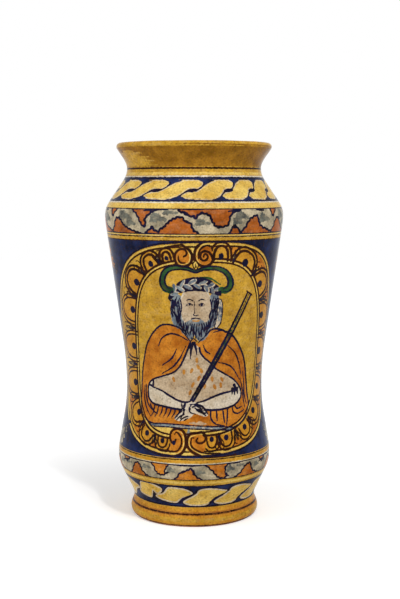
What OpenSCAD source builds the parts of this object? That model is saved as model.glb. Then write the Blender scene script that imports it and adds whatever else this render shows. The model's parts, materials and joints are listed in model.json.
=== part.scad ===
// Waisted drug jar of tin-glazed earthenware. Thrown sections of clay are luted together with slip,
// and a thin glaze, laid in painted bands, coats the jar inside and out.
// Millimetres, +Z up, origin on the table under the middle of the foot. The painted panel faces -Y.

/* [Outline] */
// Height of the foot, from the table to the narrow joint above it
foot_h = 14.5; // [11:0.5:20]
// Rise from the foot to the widest point of the base
base_rise = 35; // [28:0.5:45]
// Rise from the base's widest point to the narrowest point of the waist
waist_rise = 56.5; // [45:0.5:75]
// Rise from the waist to the widest point of the shoulder
body_rise = 137; // [110:1:170]
// Rise from the shoulder to the narrowest point of the neck
shoulder_rise = 37; // [32:0.5:46]
// Rise from the neck to the top of the rim
rim_rise = 20; // [15:0.5:28]
// Radius where the foot leaves the table
foot_base_r = 50.1; // [46:0.1:51]
// Radius of the roll round the foot
foot_roll_r = 52; // [51:0.1:56]
// Height of the roll round the foot
foot_roll_z = 5.2; // [4:0.1:7]
// Radius of the narrow joint above the foot
foot_neck_r = 49.4; // [46:0.1:51]
// Radius at the widest point of the base
base_r = 61.9; // [58:0.1:66]
// Radius at the waist
waist_r = 55.1; // [50:0.1:58]
// Radius at the widest point of the shoulder
shoulder_r = 71.5; // [66:0.1:78]
// Radius at the narrowest point of the neck
neck_r = 53.7; // [50:0.1:57]
// Radius of the rim over its rolled lip
rim_r = 62.1; // [59:0.1:66]
// Radius of the lip's half-round edge
lip_r = 3.1; // [2.5:0.1:4]
// Lean of the flaring rim where it runs into the lip, in degrees from upright
lip_lean = 31; // [20:1:40]

/* [Turns of the outline] */
// Height over which the curve above the foot turns into the slope of the base
foot_turn = 6; // [3:0.5:9]
// Height of the turn below the base's widest point
base_turn_low = 12; // [6:0.5:15]
// Height of the turn above the base's widest point
base_turn_high = 10; // [5:0.5:15]
// Height of the turn below the waist
waist_turn_low = 24; // [12:1:30]
// Height of the turn above the waist
waist_turn_high = 36; // [20:1:50]
// Height of the turn below the shoulder's widest point
shoulder_turn_low = 8; // [4:0.5:20]
// Height of the turn above the shoulder's widest point
shoulder_turn_high = 11; // [6:0.5:14]
// Height of the turn below the neck
neck_turn = 10; // [6:0.5:14]

/* [Clay and glaze] */
// Thickness of the thrown clay wall, measured level
wall_t = 6.5; // [5:0.1:9]
// Thickness of the glaze coat
glaze_t = 0.5; // [0.3:0.05:0.8]
// Thickness of the slip in each luted joint
slip_t = 0.8; // [0.5:0.1:1.5]
// Depth of the turned recess under the floor
recess_h = 4.5; // [3:0.1:6]
// How far the floor disc reaches under the clay wall
floor_seat = 1.6; // [0.8:0.1:3]
// Width of the ledge in the foot that carries the floor disc
ledge_w = 3; // [2:0.1:5]
// Height of the bare clay left unglazed at the foot's edge
bare_edge_h = 1; // [0.5:0.1:2]

/* [Painted bands] */
// Drop from the top of the foot to the turned line that parts the foot from the stripe above it
foot_line_drop = 4.2; // [3:0.1:6]
// Height of the orange stripe above the foot
foot_stripe_h = 5.4; // [3.5:0.1:8]
// Height of the rope band on the base
base_rope_h = 18.3; // [14:0.1:21]
// Height of the yellow stripe between the base's rope and leaf bands
base_stripe_h = 6.4; // [4:0.1:8]
// Height of the leaf band on the base
base_leaf_h = 12.6; // [9:0.1:16]
// Height of the yellow fillet under the blue field
lower_fillet_h = 4.7; // [3:0.1:7]
// Height of the yellow fillet over the blue field
upper_fillet_h = 5; // [3:0.1:7]
// Height of the leaf band on the shoulder
shoulder_leaf_h = 19.5; // [15:0.1:24]
// Height of the yellow stripe between the shoulder's leaf and rope bands
shoulder_stripe_h = 5.2; // [3:0.1:8]
// Height of the rope band on the shoulder
shoulder_rope_h = 19; // [15:0.1:23]
// Height of the upright yellow collar under the neck
collar_h = 6.5; // [4:0.1:9]

/* [Painted panel] */
// Turn of the panel off the front, in degrees, to the right as it is seen
panel_turn = 3; // [-8:0.5:8]
// Height of the panel's middle
panel_z = 142; // [138:0.5:146]
// Half of the panel's width, measured round the wall
panel_half_w = 55.5; // [44:0.5:60]
// Half of the panel's height
panel_half_h = 65; // [56:0.5:66]
// Squareness of the panel: 2 is an ellipse, and larger is squarer
panel_square = 3.4; // [2:0.1:4]
// Width of the painted frame round the panel
frame_w = 15.5; // [10:0.5:17]

/* [Hidden] */
// Height between the levels at which the outline is turned
lathe_step = 2.5;
// Sides of a full turn as it is drawn
around = 128;
// Degrees between the points of the lip's arc
lip_step = 15;
// Corners of the panel's oval
oval_corners = 72;
// Clearance between a coat of glaze and the clay that it lies on
glaze_seat = 0.02;

base_z = foot_h + base_rise;
waist_z = base_z + waist_rise;
shoulder_z = waist_z + body_rise;
neck_z = shoulder_z + shoulder_rise;
jar_h = neck_z + rim_rise;
collar_z = neck_z - collar_h;

lip_centre_r = rim_r - lip_r;
lip_centre_z = jar_h - lip_r;
lip_start_z = lip_centre_z - lip_r * sin(lip_lean);
lip_start_r = lip_centre_r + lip_r * cos(lip_lean);

// Depths below the glazed surface of the clay's two faces and of the inner glaze
clay_out = glaze_t;
clay_in = glaze_t + wall_t;
glaze_in = 2 * glaze_t + wall_t;

// Turning points of the outline: height, radius, height of the turn below it and above it
turning_points = [
    [foot_h, foot_neck_r, 0, foot_turn],
    [base_z, base_r, base_turn_low, base_turn_high],
    [waist_z, waist_r, waist_turn_low, waist_turn_high],
    [shoulder_z, shoulder_r, shoulder_turn_low, shoulder_turn_high],
    [neck_z, neck_r, neck_turn, 0]
];

// Slope of the straight stretch between two turning points
function slope_between(a, b) = (b[1] - a[1]) / (b[0] - a[0] - (a[3] + b[2]) / 2);

// The two ends of that straight stretch, each as height, radius and slope
function stretch(a, b) = let (s = slope_between(a, b)) [
    [a[0] + a[3], a[1] + s * a[3] / 2, s],
    [b[0] - b[2], b[1] - s * b[2] / 2, s]
];

// The outline's stations from the table to the lip, each as height, radius and slope
foot_slope = 2 * (foot_roll_r - foot_base_r) / foot_roll_z;
stations = concat(
    [[0, foot_base_r, foot_slope], [foot_roll_z, foot_roll_r, 0], [foot_h, foot_neck_r, 0]],
    [for (i = [0 : len(turning_points) - 2])
        each concat(
            stretch(turning_points[i], turning_points[i + 1]),
            [[turning_points[i + 1][0], turning_points[i + 1][1], 0]])],
    [[lip_start_z, lip_start_r, tan(lip_lean)]]
);

// Smooth curve between two stations
function between(a, b, z) = let (h = b[0] - a[0], t = (z - a[0]) / h)
    (2 * t ^ 3 - 3 * t ^ 2 + 1) * a[1] + (t ^ 3 - 2 * t ^ 2 + t) * h * a[2]
    + (3 * t ^ 2 - 2 * t ^ 3) * b[1] + (t ^ 3 - t ^ 2) * h * b[2];

// Stations at or below a height, never counting the last one
function stations_below(z) = len([for (i = [0 : len(stations) - 2]) if (z >= stations[i][0]) i]);

// Radius of the smooth outline at a height
function curve_r(z) = let (i = max(0, stations_below(z) - 1)) between(stations[i], stations[i + 1], z);

// Radius of the turned outline, straight from one lathe level to the next
function outline_r(z) = let (
    k = floor(z / lathe_step),
    low = k * lathe_step,
    high = min(low + lathe_step, lip_start_z),
    t = high > low ? (z - low) / (high - low) : 0
) curve_r(low) * (1 - t) + curve_r(high) * t;

// Heights of the lathe levels from low to high, both ends included
function levels(low, high) = concat(
    [low],
    [for (k = [floor(low / lathe_step) : ceil(high / lathe_step)])
        if (k * lathe_step > low + 0.001 && k * lathe_step < high - 0.001) k * lathe_step],
    [high]
);

function reversed(list) = [for (i = [len(list) - 1 : -1 : 0]) list[i]];

// The wall's line at one depth below the glazed surface, from low to high
function wall_line(low, high, depth) = [for (z = levels(low, high)) [outline_r(z) - depth, z]];

// The lip's half-round edge, from the outer flare over the top to the inside
function lip_arc(radius) = [for (a = [-lip_lean : lip_step : 180 - lip_lean])
    [lip_centre_r + radius * cos(a), lip_centre_z + radius * sin(a)]];

// A ring of the wall between two heights and two depths
module wall_ring(low, high, depth_out, depth_in) {
    rotate_extrude($fn = around)
        polygon(concat(wall_line(low, high, depth_out), reversed(wall_line(low, high, depth_in))));
}

module clay_ring(low, high) {
    wall_ring(low, high, clay_out, clay_in);
}

module glaze_ring(low, high) {
    wall_ring(low, high, 0, glaze_t - glaze_seat);
}

// Clay sections, from the floor to the rim

floor_r = outline_r(foot_h) - clay_in + floor_seat;
foot_inner_r = floor_r - ledge_w;
floor_bottom_z = recess_h + slip_t;

module floor_disc() {
    color("peru")
        translate([0, 0, floor_bottom_z])
            cylinder(r = floor_r, h = foot_h - floor_bottom_z, $fn = around);
}

module foot_ring() {
    color("peru")
        rotate_extrude($fn = around)
            polygon(concat(
                wall_line(0, foot_h, clay_out),
                [[floor_r, foot_h], [floor_r, recess_h], [foot_inner_r, recess_h], [foot_inner_r, 0]]));
}

module base_course() {
    color("peru") clay_ring(foot_h + slip_t, base_z);
}

module waist_wall() {
    color("peru") clay_ring(base_z + slip_t, shoulder_z);
}

module shoulder_course() {
    color("peru") clay_ring(shoulder_z + slip_t, collar_z);
}

module neck_rim() {
    low = collar_z + slip_t;
    color("peru")
        rotate_extrude($fn = around)
            polygon(concat(
                wall_line(low, lip_start_z, clay_out),
                lip_arc(lip_r - glaze_t),
                reversed(wall_line(low, lip_start_z, clay_in))));
}

// Slip in the luted joints

module floor_slip() {
    color("burlywood")
        translate([0, 0, recess_h])
            difference() {
                cylinder(r = floor_r, h = slip_t, $fn = around);
                translate([0, 0, -slip_t]) cylinder(r = foot_inner_r, h = 3 * slip_t, $fn = around);
            }
}

module joint_slip(z) {
    color("burlywood") clay_ring(z, z + slip_t);
}

// Glaze coats

foot_line_z = foot_h - foot_line_drop;
foot_stripe_z = foot_line_z + foot_stripe_h;
base_rope_z = foot_stripe_z + base_rope_h;
base_stripe_z = base_rope_z + base_stripe_h;
base_leaf_z = base_stripe_z + base_leaf_h;
field_low = base_leaf_z + lower_fillet_h;
shoulder_rope_z = collar_z - shoulder_rope_h;
shoulder_stripe_z = shoulder_rope_z - shoulder_stripe_h;
shoulder_leaf_z = shoulder_stripe_z - shoulder_leaf_h;
field_high = shoulder_leaf_z - upper_fillet_h;

module inner_glaze() {
    floor_top = foot_h + glaze_t;
    color("khaki")
        rotate_extrude($fn = around)
            polygon(concat(
                [[0, foot_h]],
                wall_line(foot_h, lip_start_z, clay_in),
                [lip_arc(lip_r - glaze_t)[180 / lip_step], lip_arc(lip_r)[180 / lip_step]],
                reversed(wall_line(floor_top, lip_start_z, glaze_in)),
                [[0, floor_top]]));
}

module rim_glaze() {
    color("goldenrod")
        rotate_extrude($fn = around)
            polygon(concat(
                wall_line(neck_z, lip_start_z, 0),
                lip_arc(lip_r),
                reversed(lip_arc(lip_r - glaze_t)),
                reversed(wall_line(neck_z, lip_start_z, glaze_t))));
}

module yellow_stripes() {
    color("gold") {
        glaze_ring(collar_z, neck_z);
        glaze_ring(shoulder_stripe_z, shoulder_rope_z);
        glaze_ring(field_high, shoulder_leaf_z);
        glaze_ring(base_leaf_z, field_low);
        glaze_ring(base_rope_z, base_stripe_z);
    }
}

module shoulder_rope_band() {
    color("midnightblue") glaze_ring(shoulder_rope_z, collar_z);
}

module shoulder_leaf_band() {
    color("chocolate") glaze_ring(shoulder_leaf_z, shoulder_stripe_z);
}

module base_leaf_band() {
    color("chocolate") glaze_ring(base_stripe_z, base_leaf_z);
}

module base_rope_band() {
    color("midnightblue") glaze_ring(foot_stripe_z, base_rope_z);
}

module foot_glaze() {
    color("darkgoldenrod") glaze_ring(bare_edge_h, foot_line_z);
}

module foot_stripe() {
    color("peru") glaze_ring(foot_line_z, foot_stripe_z);
}

// Signed power, for the oval's square corners
function signed_pow(v, p) = sign(v) * abs(v) ^ p;

// A corner of the panel's oval as it is seen from the front, grown by a margin round the wall
function oval_corner(angle, margin) = let (
    round_s = (panel_half_w + margin) * signed_pow(cos(angle), 2 / panel_square),
    z = panel_z + (panel_half_h + margin) * signed_pow(sin(angle), 2 / panel_square),
    r = curve_r(z)
) [r * sin(round_s / r * 180 / PI), z];

// The oval as a block that cuts through the front wall only
module front_oval(margin) {
    rotate([90, 0, panel_turn])
        linear_extrude(2 * shoulder_r)
            polygon([for (i = [0 : oval_corners - 1]) oval_corner(360 * i / oval_corners, margin)]);
}

module blue_field() {
    color("navy")
        difference() {
            glaze_ring(field_low, field_high);
            front_oval(frame_w);
        }
}

module medallion_frame() {
    color("orange")
        intersection() {
            glaze_ring(field_low, field_high);
            difference() {
                front_oval(frame_w);
                front_oval(0);
            }
        }
}

module portrait_panel() {
    color("goldenrod")
        intersection() {
            glaze_ring(field_low, field_high);
            front_oval(0);
        }
}

floor_disc();
foot_ring();
base_course();
waist_wall();
shoulder_course();
neck_rim();
floor_slip();
joint_slip(foot_h);  // foot_slip
joint_slip(base_z);  // base_slip
joint_slip(shoulder_z);  // shoulder_slip
joint_slip(collar_z);  // neck_slip
inner_glaze();
rim_glaze();
yellow_stripes();
shoulder_rope_band();
shoulder_leaf_band();
blue_field();
medallion_frame();
portrait_panel();
base_leaf_band();
base_rope_band();
foot_stripe();
foot_glaze();
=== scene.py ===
# %% [markdown]
# # A painted drug jar
#
# The real object is one turned pot of red clay. It was dipped in white tin glaze, painted in a few
# metal-oxide colours with a brush, and fired. This lesson dresses the turned sections of the frame in
# thin skins of glaze. Each skin is a Geometry Nodes lathe, the painting is a set of brush strokes laid
# on the unrolled wall, and one shader turns the strokes into pigments under a gloss.

# %% Load the frame
import json
import math

import bmesh
import bpy
import numpy as np
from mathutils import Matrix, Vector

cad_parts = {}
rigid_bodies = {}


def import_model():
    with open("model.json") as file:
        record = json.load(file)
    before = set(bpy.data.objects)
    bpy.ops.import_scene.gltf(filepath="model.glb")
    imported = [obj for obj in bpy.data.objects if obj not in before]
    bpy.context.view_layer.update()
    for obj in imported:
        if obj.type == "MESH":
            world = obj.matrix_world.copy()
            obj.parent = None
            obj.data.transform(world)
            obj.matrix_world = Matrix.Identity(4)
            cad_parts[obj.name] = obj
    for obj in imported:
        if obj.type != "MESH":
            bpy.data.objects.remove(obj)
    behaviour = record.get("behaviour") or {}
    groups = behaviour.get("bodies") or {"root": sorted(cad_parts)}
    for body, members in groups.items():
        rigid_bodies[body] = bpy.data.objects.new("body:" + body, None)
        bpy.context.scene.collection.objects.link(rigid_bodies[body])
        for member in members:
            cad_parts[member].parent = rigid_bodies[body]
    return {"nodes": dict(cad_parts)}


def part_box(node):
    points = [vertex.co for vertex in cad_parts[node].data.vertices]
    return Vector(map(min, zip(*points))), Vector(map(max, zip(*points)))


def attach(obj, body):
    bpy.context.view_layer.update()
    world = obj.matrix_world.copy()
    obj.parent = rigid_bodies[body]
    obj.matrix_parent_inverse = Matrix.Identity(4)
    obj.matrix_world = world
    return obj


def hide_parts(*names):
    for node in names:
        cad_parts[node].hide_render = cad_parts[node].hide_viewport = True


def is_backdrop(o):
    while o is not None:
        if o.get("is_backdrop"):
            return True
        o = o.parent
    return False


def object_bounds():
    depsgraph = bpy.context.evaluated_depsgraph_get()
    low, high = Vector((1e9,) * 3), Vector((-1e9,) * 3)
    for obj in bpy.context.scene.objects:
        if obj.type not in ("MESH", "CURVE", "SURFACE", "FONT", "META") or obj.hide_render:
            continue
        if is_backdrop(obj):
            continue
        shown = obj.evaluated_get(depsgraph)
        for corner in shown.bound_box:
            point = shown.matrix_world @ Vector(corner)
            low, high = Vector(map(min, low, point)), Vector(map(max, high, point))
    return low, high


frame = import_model()
cad_low, cad_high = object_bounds()
MM = 0.001
jar_height = cad_high.z / MM
print(f"Frame: {len(frame['nodes'])} nodes, {jar_height:.0f} mm tall")

# %% [markdown]
# ## Camera
#
# The picture was taken from a little below the rim, at about three jar heights away. The focal length
# is kept in pixels of the picture, because that is how it was worked out from the jar's outline, and
# Blender's lens follows from it.

# %% Camera
IMAGE_HEIGHT_PX = 599
FOCAL_PX = 1085.0
SENSOR_MM = 36.0
CAMERA_PLACE = (0.0, -0.877, 0.266)
CAMERA_DOWN_DEG = 5.98
CAMERA_RIGHT_DEG = 0.31

camera_data = bpy.data.cameras.new("camera")
camera_data.sensor_width = SENSOR_MM
camera_data.lens = FOCAL_PX * SENSOR_MM / IMAGE_HEIGHT_PX
camera = bpy.data.objects.new("camera", camera_data)
camera.location = CAMERA_PLACE
camera.rotation_euler = (math.radians(90 - CAMERA_DOWN_DEG), 0, math.radians(-CAMERA_RIGHT_DEG))
scene = bpy.context.scene
scene.collection.objects.link(camera)
scene.camera = camera
scene.view_settings.view_transform = "Standard"
print(f"Camera: {camera_data.lens:.1f} mm lens")

# %% [markdown]
# ## Node expressions
#
# Shaders and Geometry Nodes are both graphs of sockets. Wiring them by hand hides the maths, so one
# small class wraps a socket: operators add Math nodes, and `node` adds anything else.


# %% Node expressions
class Wire:
    """A socket of a node tree that Python expressions can be written with."""

    def __init__(self, tree, socket=None):
        self.tree = tree
        self.socket = socket

    def node(self, kind, settings=None, inputs=None, out=0):
        """Adds a node: its settings first, then the values or wires of its sockets."""
        made = self.tree.nodes.new(kind)
        for name, value in (settings or {}).items():
            setattr(made, name, value)
        for key, value in (inputs or {}).items():
            if isinstance(value, Wire):
                self.tree.links.new(value.socket, made.inputs[key])
            else:
                made.inputs[key].default_value = value
        return Wire(self.tree, made.outputs[out] if len(made.outputs) else None)

    def math(self, operation, *values, clamp=False):
        """Adds a Math node, with its result held between 0 and 1 where that is asked for."""
        settings = {"operation": operation, "use_clamp": clamp}
        return self.node("ShaderNodeMath", settings, dict(enumerate(values)))

    def __add__(self, other):
        return self.math("ADD", self, other)

    def __sub__(self, other):
        return self.math("SUBTRACT", self, other)

    def __mul__(self, other):
        return self.math("MULTIPLY", self, other)

    def __truediv__(self, other):
        return self.math("DIVIDE", self, other)

    def __rsub__(self, other):
        return self.math("SUBTRACT", other, self)

    def __rtruediv__(self, other):
        return self.math("DIVIDE", other, self)

    __radd__ = __add__
    __rmul__ = __mul__

    def clamp(self):
        """This number, held between 0 and 1."""
        return self.math("ADD", self, 0.0, clamp=True)

    def blend(self, other, share):
        """From this number to the other as share goes from 0 to 1."""
        return self + (other - self) * share

    def tint(self, colour, share):
        """From this colour to the other as share goes from 0 to 1."""
        return self.node("ShaderNodeMix", {"data_type": "RGBA"}, {0: share, 6: self, 7: colour}, out=2)

    def step(self, low, high):
        """Rises smoothly from 0 at low to 1 at high."""
        settings = {"interpolation_type": "SMOOTHSTEP"}
        return self.node("ShaderNodeMapRange", settings, {"Value": self, "From Min": low, "From Max": high})


def srgb(red, green, blue):
    """A colour in screen values from 0 to 255, as the linear colour that nodes take."""
    values = np.array([red, green, blue]) / 255
    linear = np.where(values <= 0.04045, values / 12.92, ((values + 0.055) / 1.055) ** 2.4)
    return (*linear.tolist(), 1.0)


print("Node expressions are ready")

# %% [markdown]
# ## Room
#
# The jar stands on a white sheet in even light. The world lights it softly, and the camera and the
# reflections see the world as plain white. A broad lamp high on the right rounds the form, a small one beside
# it makes the glints on the glaze, and a weak one on the left keeps the shadow side open. The floor is lifted
# to white for the camera and keeps the shadow. Near the jar it is lifted less, which paints a faint shade
# round the foot.

# %% Room
WHITE = (1, 1, 1, 1)
PAPER_WHITE = (0.9, 0.9, 0.9, 1)
WORLD_LIGHT = 0.5
FLOOR_HALF = 3.0
FLOOR_LIFT = (0.3, 0.6)
LIFT_REACH = (0.08, 0.32)
LAMPS = {
    "key": {"place": (0.45, -0.85, 1.3), "width": 0.4, "watts": 7.0},
    "glint": {"place": (0.36, -0.88, 1.24), "width": 0.07, "watts": 4.0},
    "fill": {"place": (-1.1, -0.55, 0.5), "width": 0.9, "watts": 4.5},
}
LAMP_AIM = (0.0, 0.0, 0.15)


def seen_directly(wire):
    """1 for rays from the camera, from reflections and through glass, and 0 for lighting rays."""
    names = ("Is Camera Ray", "Is Glossy Ray", "Is Transmission Ray")
    camera_ray, glossy, through = (wire.node("ShaderNodeLightPath", out=name) for name in names)
    return (camera_ray + glossy + through).clamp()


world = bpy.data.worlds.new("white_room")
world.use_nodes = True
world.node_tree.nodes.clear()
sky = Wire(world.node_tree)
lighting = sky.node("ShaderNodeBackground", None, {"Color": WHITE, "Strength": WORLD_LIGHT})
backdrop = sky.node("ShaderNodeBackground", None, {"Color": WHITE, "Strength": 1.0})
shown = sky.node("ShaderNodeMixShader", None, {0: seen_directly(sky), 1: lighting, 2: backdrop})
sky.node("ShaderNodeOutputWorld", None, {"Surface": shown})
scene.world = world

floor_material = bpy.data.materials.new("white_sheet")
floor_material.use_nodes = True
floor_material.node_tree.nodes.clear()
sheet = Wire(floor_material.node_tree)
paper = sheet.node("ShaderNodeBsdfDiffuse", None, {"Color": PAPER_WHITE})
place = sheet.node("ShaderNodeTexCoord", out="Object")
away = sheet.node("ShaderNodeVectorMath", {"operation": "LENGTH"}, {0: place}, out="Value")
# The lift is weaker near the jar, which paints a shade on the floor round the foot besides the real shadow.
lift_with_painted_shade = FLOOR_LIFT[0] + (FLOOR_LIFT[1] - FLOOR_LIFT[0]) * away.step(*LIFT_REACH)
lift = sheet.node("ShaderNodeEmission", None, {"Strength": seen_directly(sheet) * lift_with_painted_shade})
lifted = sheet.node("ShaderNodeAddShader", None, {0: paper, 1: lift})
sheet.node("ShaderNodeOutputMaterial", None, {"Surface": lifted})

floor_mesh = bpy.data.meshes.new("floor")
corners = [(-FLOOR_HALF, -FLOOR_HALF, 0), (FLOOR_HALF, -FLOOR_HALF, 0),
           (FLOOR_HALF, FLOOR_HALF, 0), (-FLOOR_HALF, FLOOR_HALF, 0)]
floor_mesh.from_pydata(corners, [], [(0, 1, 2, 3)])
floor_mesh.materials.append(floor_material)
floor = bpy.data.objects.new("floor", floor_mesh)
scene.collection.objects.link(floor)
floor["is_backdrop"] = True

for lamp_name, lamp in LAMPS.items():
    lamp_data = bpy.data.lights.new(lamp_name, "AREA")
    lamp_data.size = lamp["width"]
    lamp_data.energy = lamp["watts"]
    lamp_object = bpy.data.objects.new(lamp_name, lamp_data)
    lamp_object.location = lamp["place"]
    x, y, z = np.array(lamp["place"]) - np.array(LAMP_AIM)
    pan, rise = math.atan2(x, -y), math.atan2(z, math.hypot(x, y))
    lamp_object.rotation_euler = (math.pi / 2 - rise, 0, pan)
    scene.collection.objects.link(lamp_object)
print(f"Room: {len(LAMPS)} lamps and a floor")

# %% [markdown]
# ## Outline
#
# Every skin follows one line, from the table up the outside, over the lip and down the inside to the middle
# of the floor. It is read from the frame, whose outline is straight between turned levels, and it is
# smoothed through those levels. Each point also keeps the direction into the clay. Sizes on the jar are in
# millimetres, and MM turns them into Blender's metres.

# %% Outline
LATHE_STEP = 2.5
PATH_STEP = 0.5
GLAZE_T = 0.5
LIP_R = 3.1
LIP_LEAN = math.radians(31)
LIP_POINTS = 33
FLOOR_ROUND = 5.0
ROUND_POINTS = 9
FLOOR_POINTS = 60
WAIST_ABOVE = 60
SAME_LEVEL = 0.01


def turned_points(name):
    """Radius and height in millimetres of every corner of a turned node."""
    x, y, z = np.array([corner.co for corner in frame["nodes"][name].data.vertices]).T / MM
    return np.hypot(x, y), z


def level(name):
    """The lowest and the highest height of a node, in millimetres."""
    low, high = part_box(name)
    return low.z / MM, high.z / MM


all_r, all_z = (np.concatenate(part) for part in zip(*map(turned_points, frame["nodes"])))
inner_r, inner_z = turned_points("inner_glaze")
rim_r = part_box("rim_glaze")[1].x / MM
lip_r, lip_z = rim_r - LIP_R, jar_height - LIP_R
flare_top = lip_z - LIP_R * math.sin(LIP_LEAN)
floor_z = level("floor_disc")[1] + GLAZE_T

knot_z = np.arange(0, flare_top, LATHE_STEP)
knot_r = np.array([all_r[np.abs(all_z - z) < SAME_LEVEL].max() for z in knot_z])
knot_r[0] += GLAZE_T
knot_z = np.append(knot_z, flare_top)
knot_r = np.append(knot_r, lip_r + LIP_R * math.cos(LIP_LEAN))
knot_slope = np.gradient(knot_r, knot_z)
waist_z = knot_z[knot_z > WAIST_ABOVE][np.argmin(knot_r[knot_z > WAIST_ABOVE])]
wall_t = np.interp(waist_z, knot_z, knot_r) - inner_r[np.abs(inner_z - waist_z) < SAME_LEVEL].min()


def wall_r(z):
    """Radius of the glazed wall at a height, as a smooth curve through the turned levels."""
    i = np.clip(np.searchsorted(knot_z, z, side="right") - 1, 0, len(knot_z) - 2)
    h = knot_z[i + 1] - knot_z[i]
    t = (z - knot_z[i]) / h
    start = (2 * t**3 - 3 * t**2 + 1) * knot_r[i] + (t**3 - 2 * t**2 + t) * h * knot_slope[i]
    return start + (3 * t**2 - 2 * t**3) * knot_r[i + 1] + (t**3 - t**2) * h * knot_slope[i + 1]


outer_z = np.arange(0, flare_top, PATH_STEP)
outer_path = np.stack([wall_r(outer_z), outer_z], 1)
lip_turn = np.linspace(-LIP_LEAN, math.pi - LIP_LEAN, LIP_POINTS)
lip_path = np.stack([lip_r + LIP_R * np.cos(lip_turn), lip_z + LIP_R * np.sin(lip_turn)], 1)
inside_z = outer_z[::-1][outer_z[::-1] > floor_z + FLOOR_ROUND]
inside_path = np.stack([wall_r(inside_z) - wall_t, inside_z], 1)
round_turn = np.linspace(0, math.pi / 2, ROUND_POINTS)[1:]
round_middle = inside_path[-1] + [-FLOOR_ROUND, 0]
round_path = round_middle + FLOOR_ROUND * np.stack([np.cos(round_turn), -np.sin(round_turn)], 1)
round_path[:, 1] += floor_z - round_path[-1, 1]
floor_r = np.linspace(round_path[-1, 0], 0, FLOOR_POINTS)[1:]
floor_path = np.stack([floor_r, np.full_like(floor_r, floor_z)], 1)
path = np.concatenate([outer_path, lip_path, inside_path, round_path, floor_path])
tangent = np.gradient(path, axis=0)
tangent /= np.linalg.norm(tangent, axis=1, keepdims=True)
into_clay = np.stack([-tangent[:, 1], tangent[:, 0]], 1)
lip_start = len(outer_path)
lip_end = lip_start + LIP_POINTS - 1
print(f"Outline: {len(path)} points, wall {wall_t:.1f} mm thick with its glaze")

# %% [markdown]
# The line goes into a helper mesh, so that Geometry Nodes can look a point up by its number. The
# direction into the clay rides along as an attribute.

# %% Outline as a mesh
outline_mesh = bpy.data.meshes.new("outline")
outline_mesh.from_pydata([(r * MM, 0, z * MM) for r, z in path], [], [])
inward = outline_mesh.attributes.new("inward", "FLOAT_VECTOR", "POINT")
inward.data.foreach_set("vector", np.insert(into_clay, 1, 0, axis=1).astype(np.float32).ravel())
outline = bpy.data.objects.new("outline", outline_mesh)
scene.collection.objects.link(outline)
print(f"Outline mesh: {len(outline_mesh.vertices)} points")

# %% [markdown]
# ## Skins of glaze
#
# A skin of glaze is a closed sheet half a millimetre thick. A flat grid can be bent into one: its columns
# go round the jar, and its rows go up the outer face, over the edge and back down the hidden face with only
# a few rows. Two trees share that idea. One turns a ring between two places on the outline, and the other
# fills the room between two ovals on the front. A little noise keeps the surface from looking machined.

# %% Trees for the skins
THROWN_UNEVENNESS = 0.22
THROWN_SCALE = 26.0
SEAM = 0.001
EDGE_ROWS = 2


def new_tree(name, inputs):
    """An empty geometry tree with named inputs, and a wire to each of them."""
    tree = bpy.data.node_groups.new(name, "GeometryNodeTree")
    tree.interface.new_socket("Geometry", in_out="OUTPUT", socket_type="NodeSocketGeometry")
    for label, kind in inputs.items():
        tree.interface.new_socket(label, in_out="INPUT", socket_type="NodeSocket" + kind)
    start = tree.nodes.new("NodeGroupInput")
    return tree, {label: Wire(tree, start.outputs[label]) for label in inputs}


SKIN_INPUTS = {"Outline": "Object", "Columns": "Int", "Rows": "Int", "Hidden Rows": "Int",
               "Thickness": "Float", "Finish": "Material"}


def skin_grid(given):
    """The flat grid, the share across it, the way along its section, and the depth under the outer face."""
    last = given["Rows"] + given["Hidden Rows"] + EDGE_ROWS
    sizes = {"Size X": 1.0, "Size Y": 1.0, "Vertices X": given["Columns"] + 1, "Vertices Y": last + 1}
    grid = given["Rows"].node("GeometryNodeMeshGrid", None, sizes)
    uv = Wire(grid.tree, grid.socket.node.outputs["UV Map"])
    settings = {"data_type": "FLOAT2", "domain": "CORNER"}
    stored = grid.node("GeometryNodeStoreNamedAttribute", settings,
                       {"Geometry": grid, "Name": "OFBake", "Value": uv})
    place = grid.node("ShaderNodeSeparateXYZ", None, {0: grid.node("GeometryNodeInputPosition")})
    across = place + 0.5
    row = (Wire(grid.tree, place.socket.node.outputs["Y"]) + 0.5) * last
    out_done, back_start = row - given["Rows"], row - given["Rows"] - 1
    along = (row / given["Rows"]).clamp() - (back_start / given["Hidden Rows"]).clamp()
    depth = out_done.clamp() * (1 - (back_start - given["Hidden Rows"]).clamp()) * given["Thickness"]
    return stored, across, along, depth


def on_outline(given, number, what):
    """A vector of the outline at a point number, read between the two nearest points."""
    geometry = number.node("GeometryNodeObjectInfo", None, {"Object": given["Outline"]}, out="Geometry")
    settings = {"data_type": "FLOAT_VECTOR", "domain": "POINT", "clamp": True}
    below = number.math("FLOOR", number)
    ends = [number.node("GeometryNodeSampleIndex", settings,
                        {"Geometry": geometry, "Value": what, "Index": i}) for i in (below, below + 1)]
    mixed = number.node("ShaderNodeMix", {"data_type": "VECTOR"}, {0: number - below, 4: ends[0], 5: ends[1]},
                        out=1)
    parts = number.node("ShaderNodeSeparateXYZ", None, {0: mixed})
    return parts, Wire(parts.tree, parts.socket.node.outputs["Z"])


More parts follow.
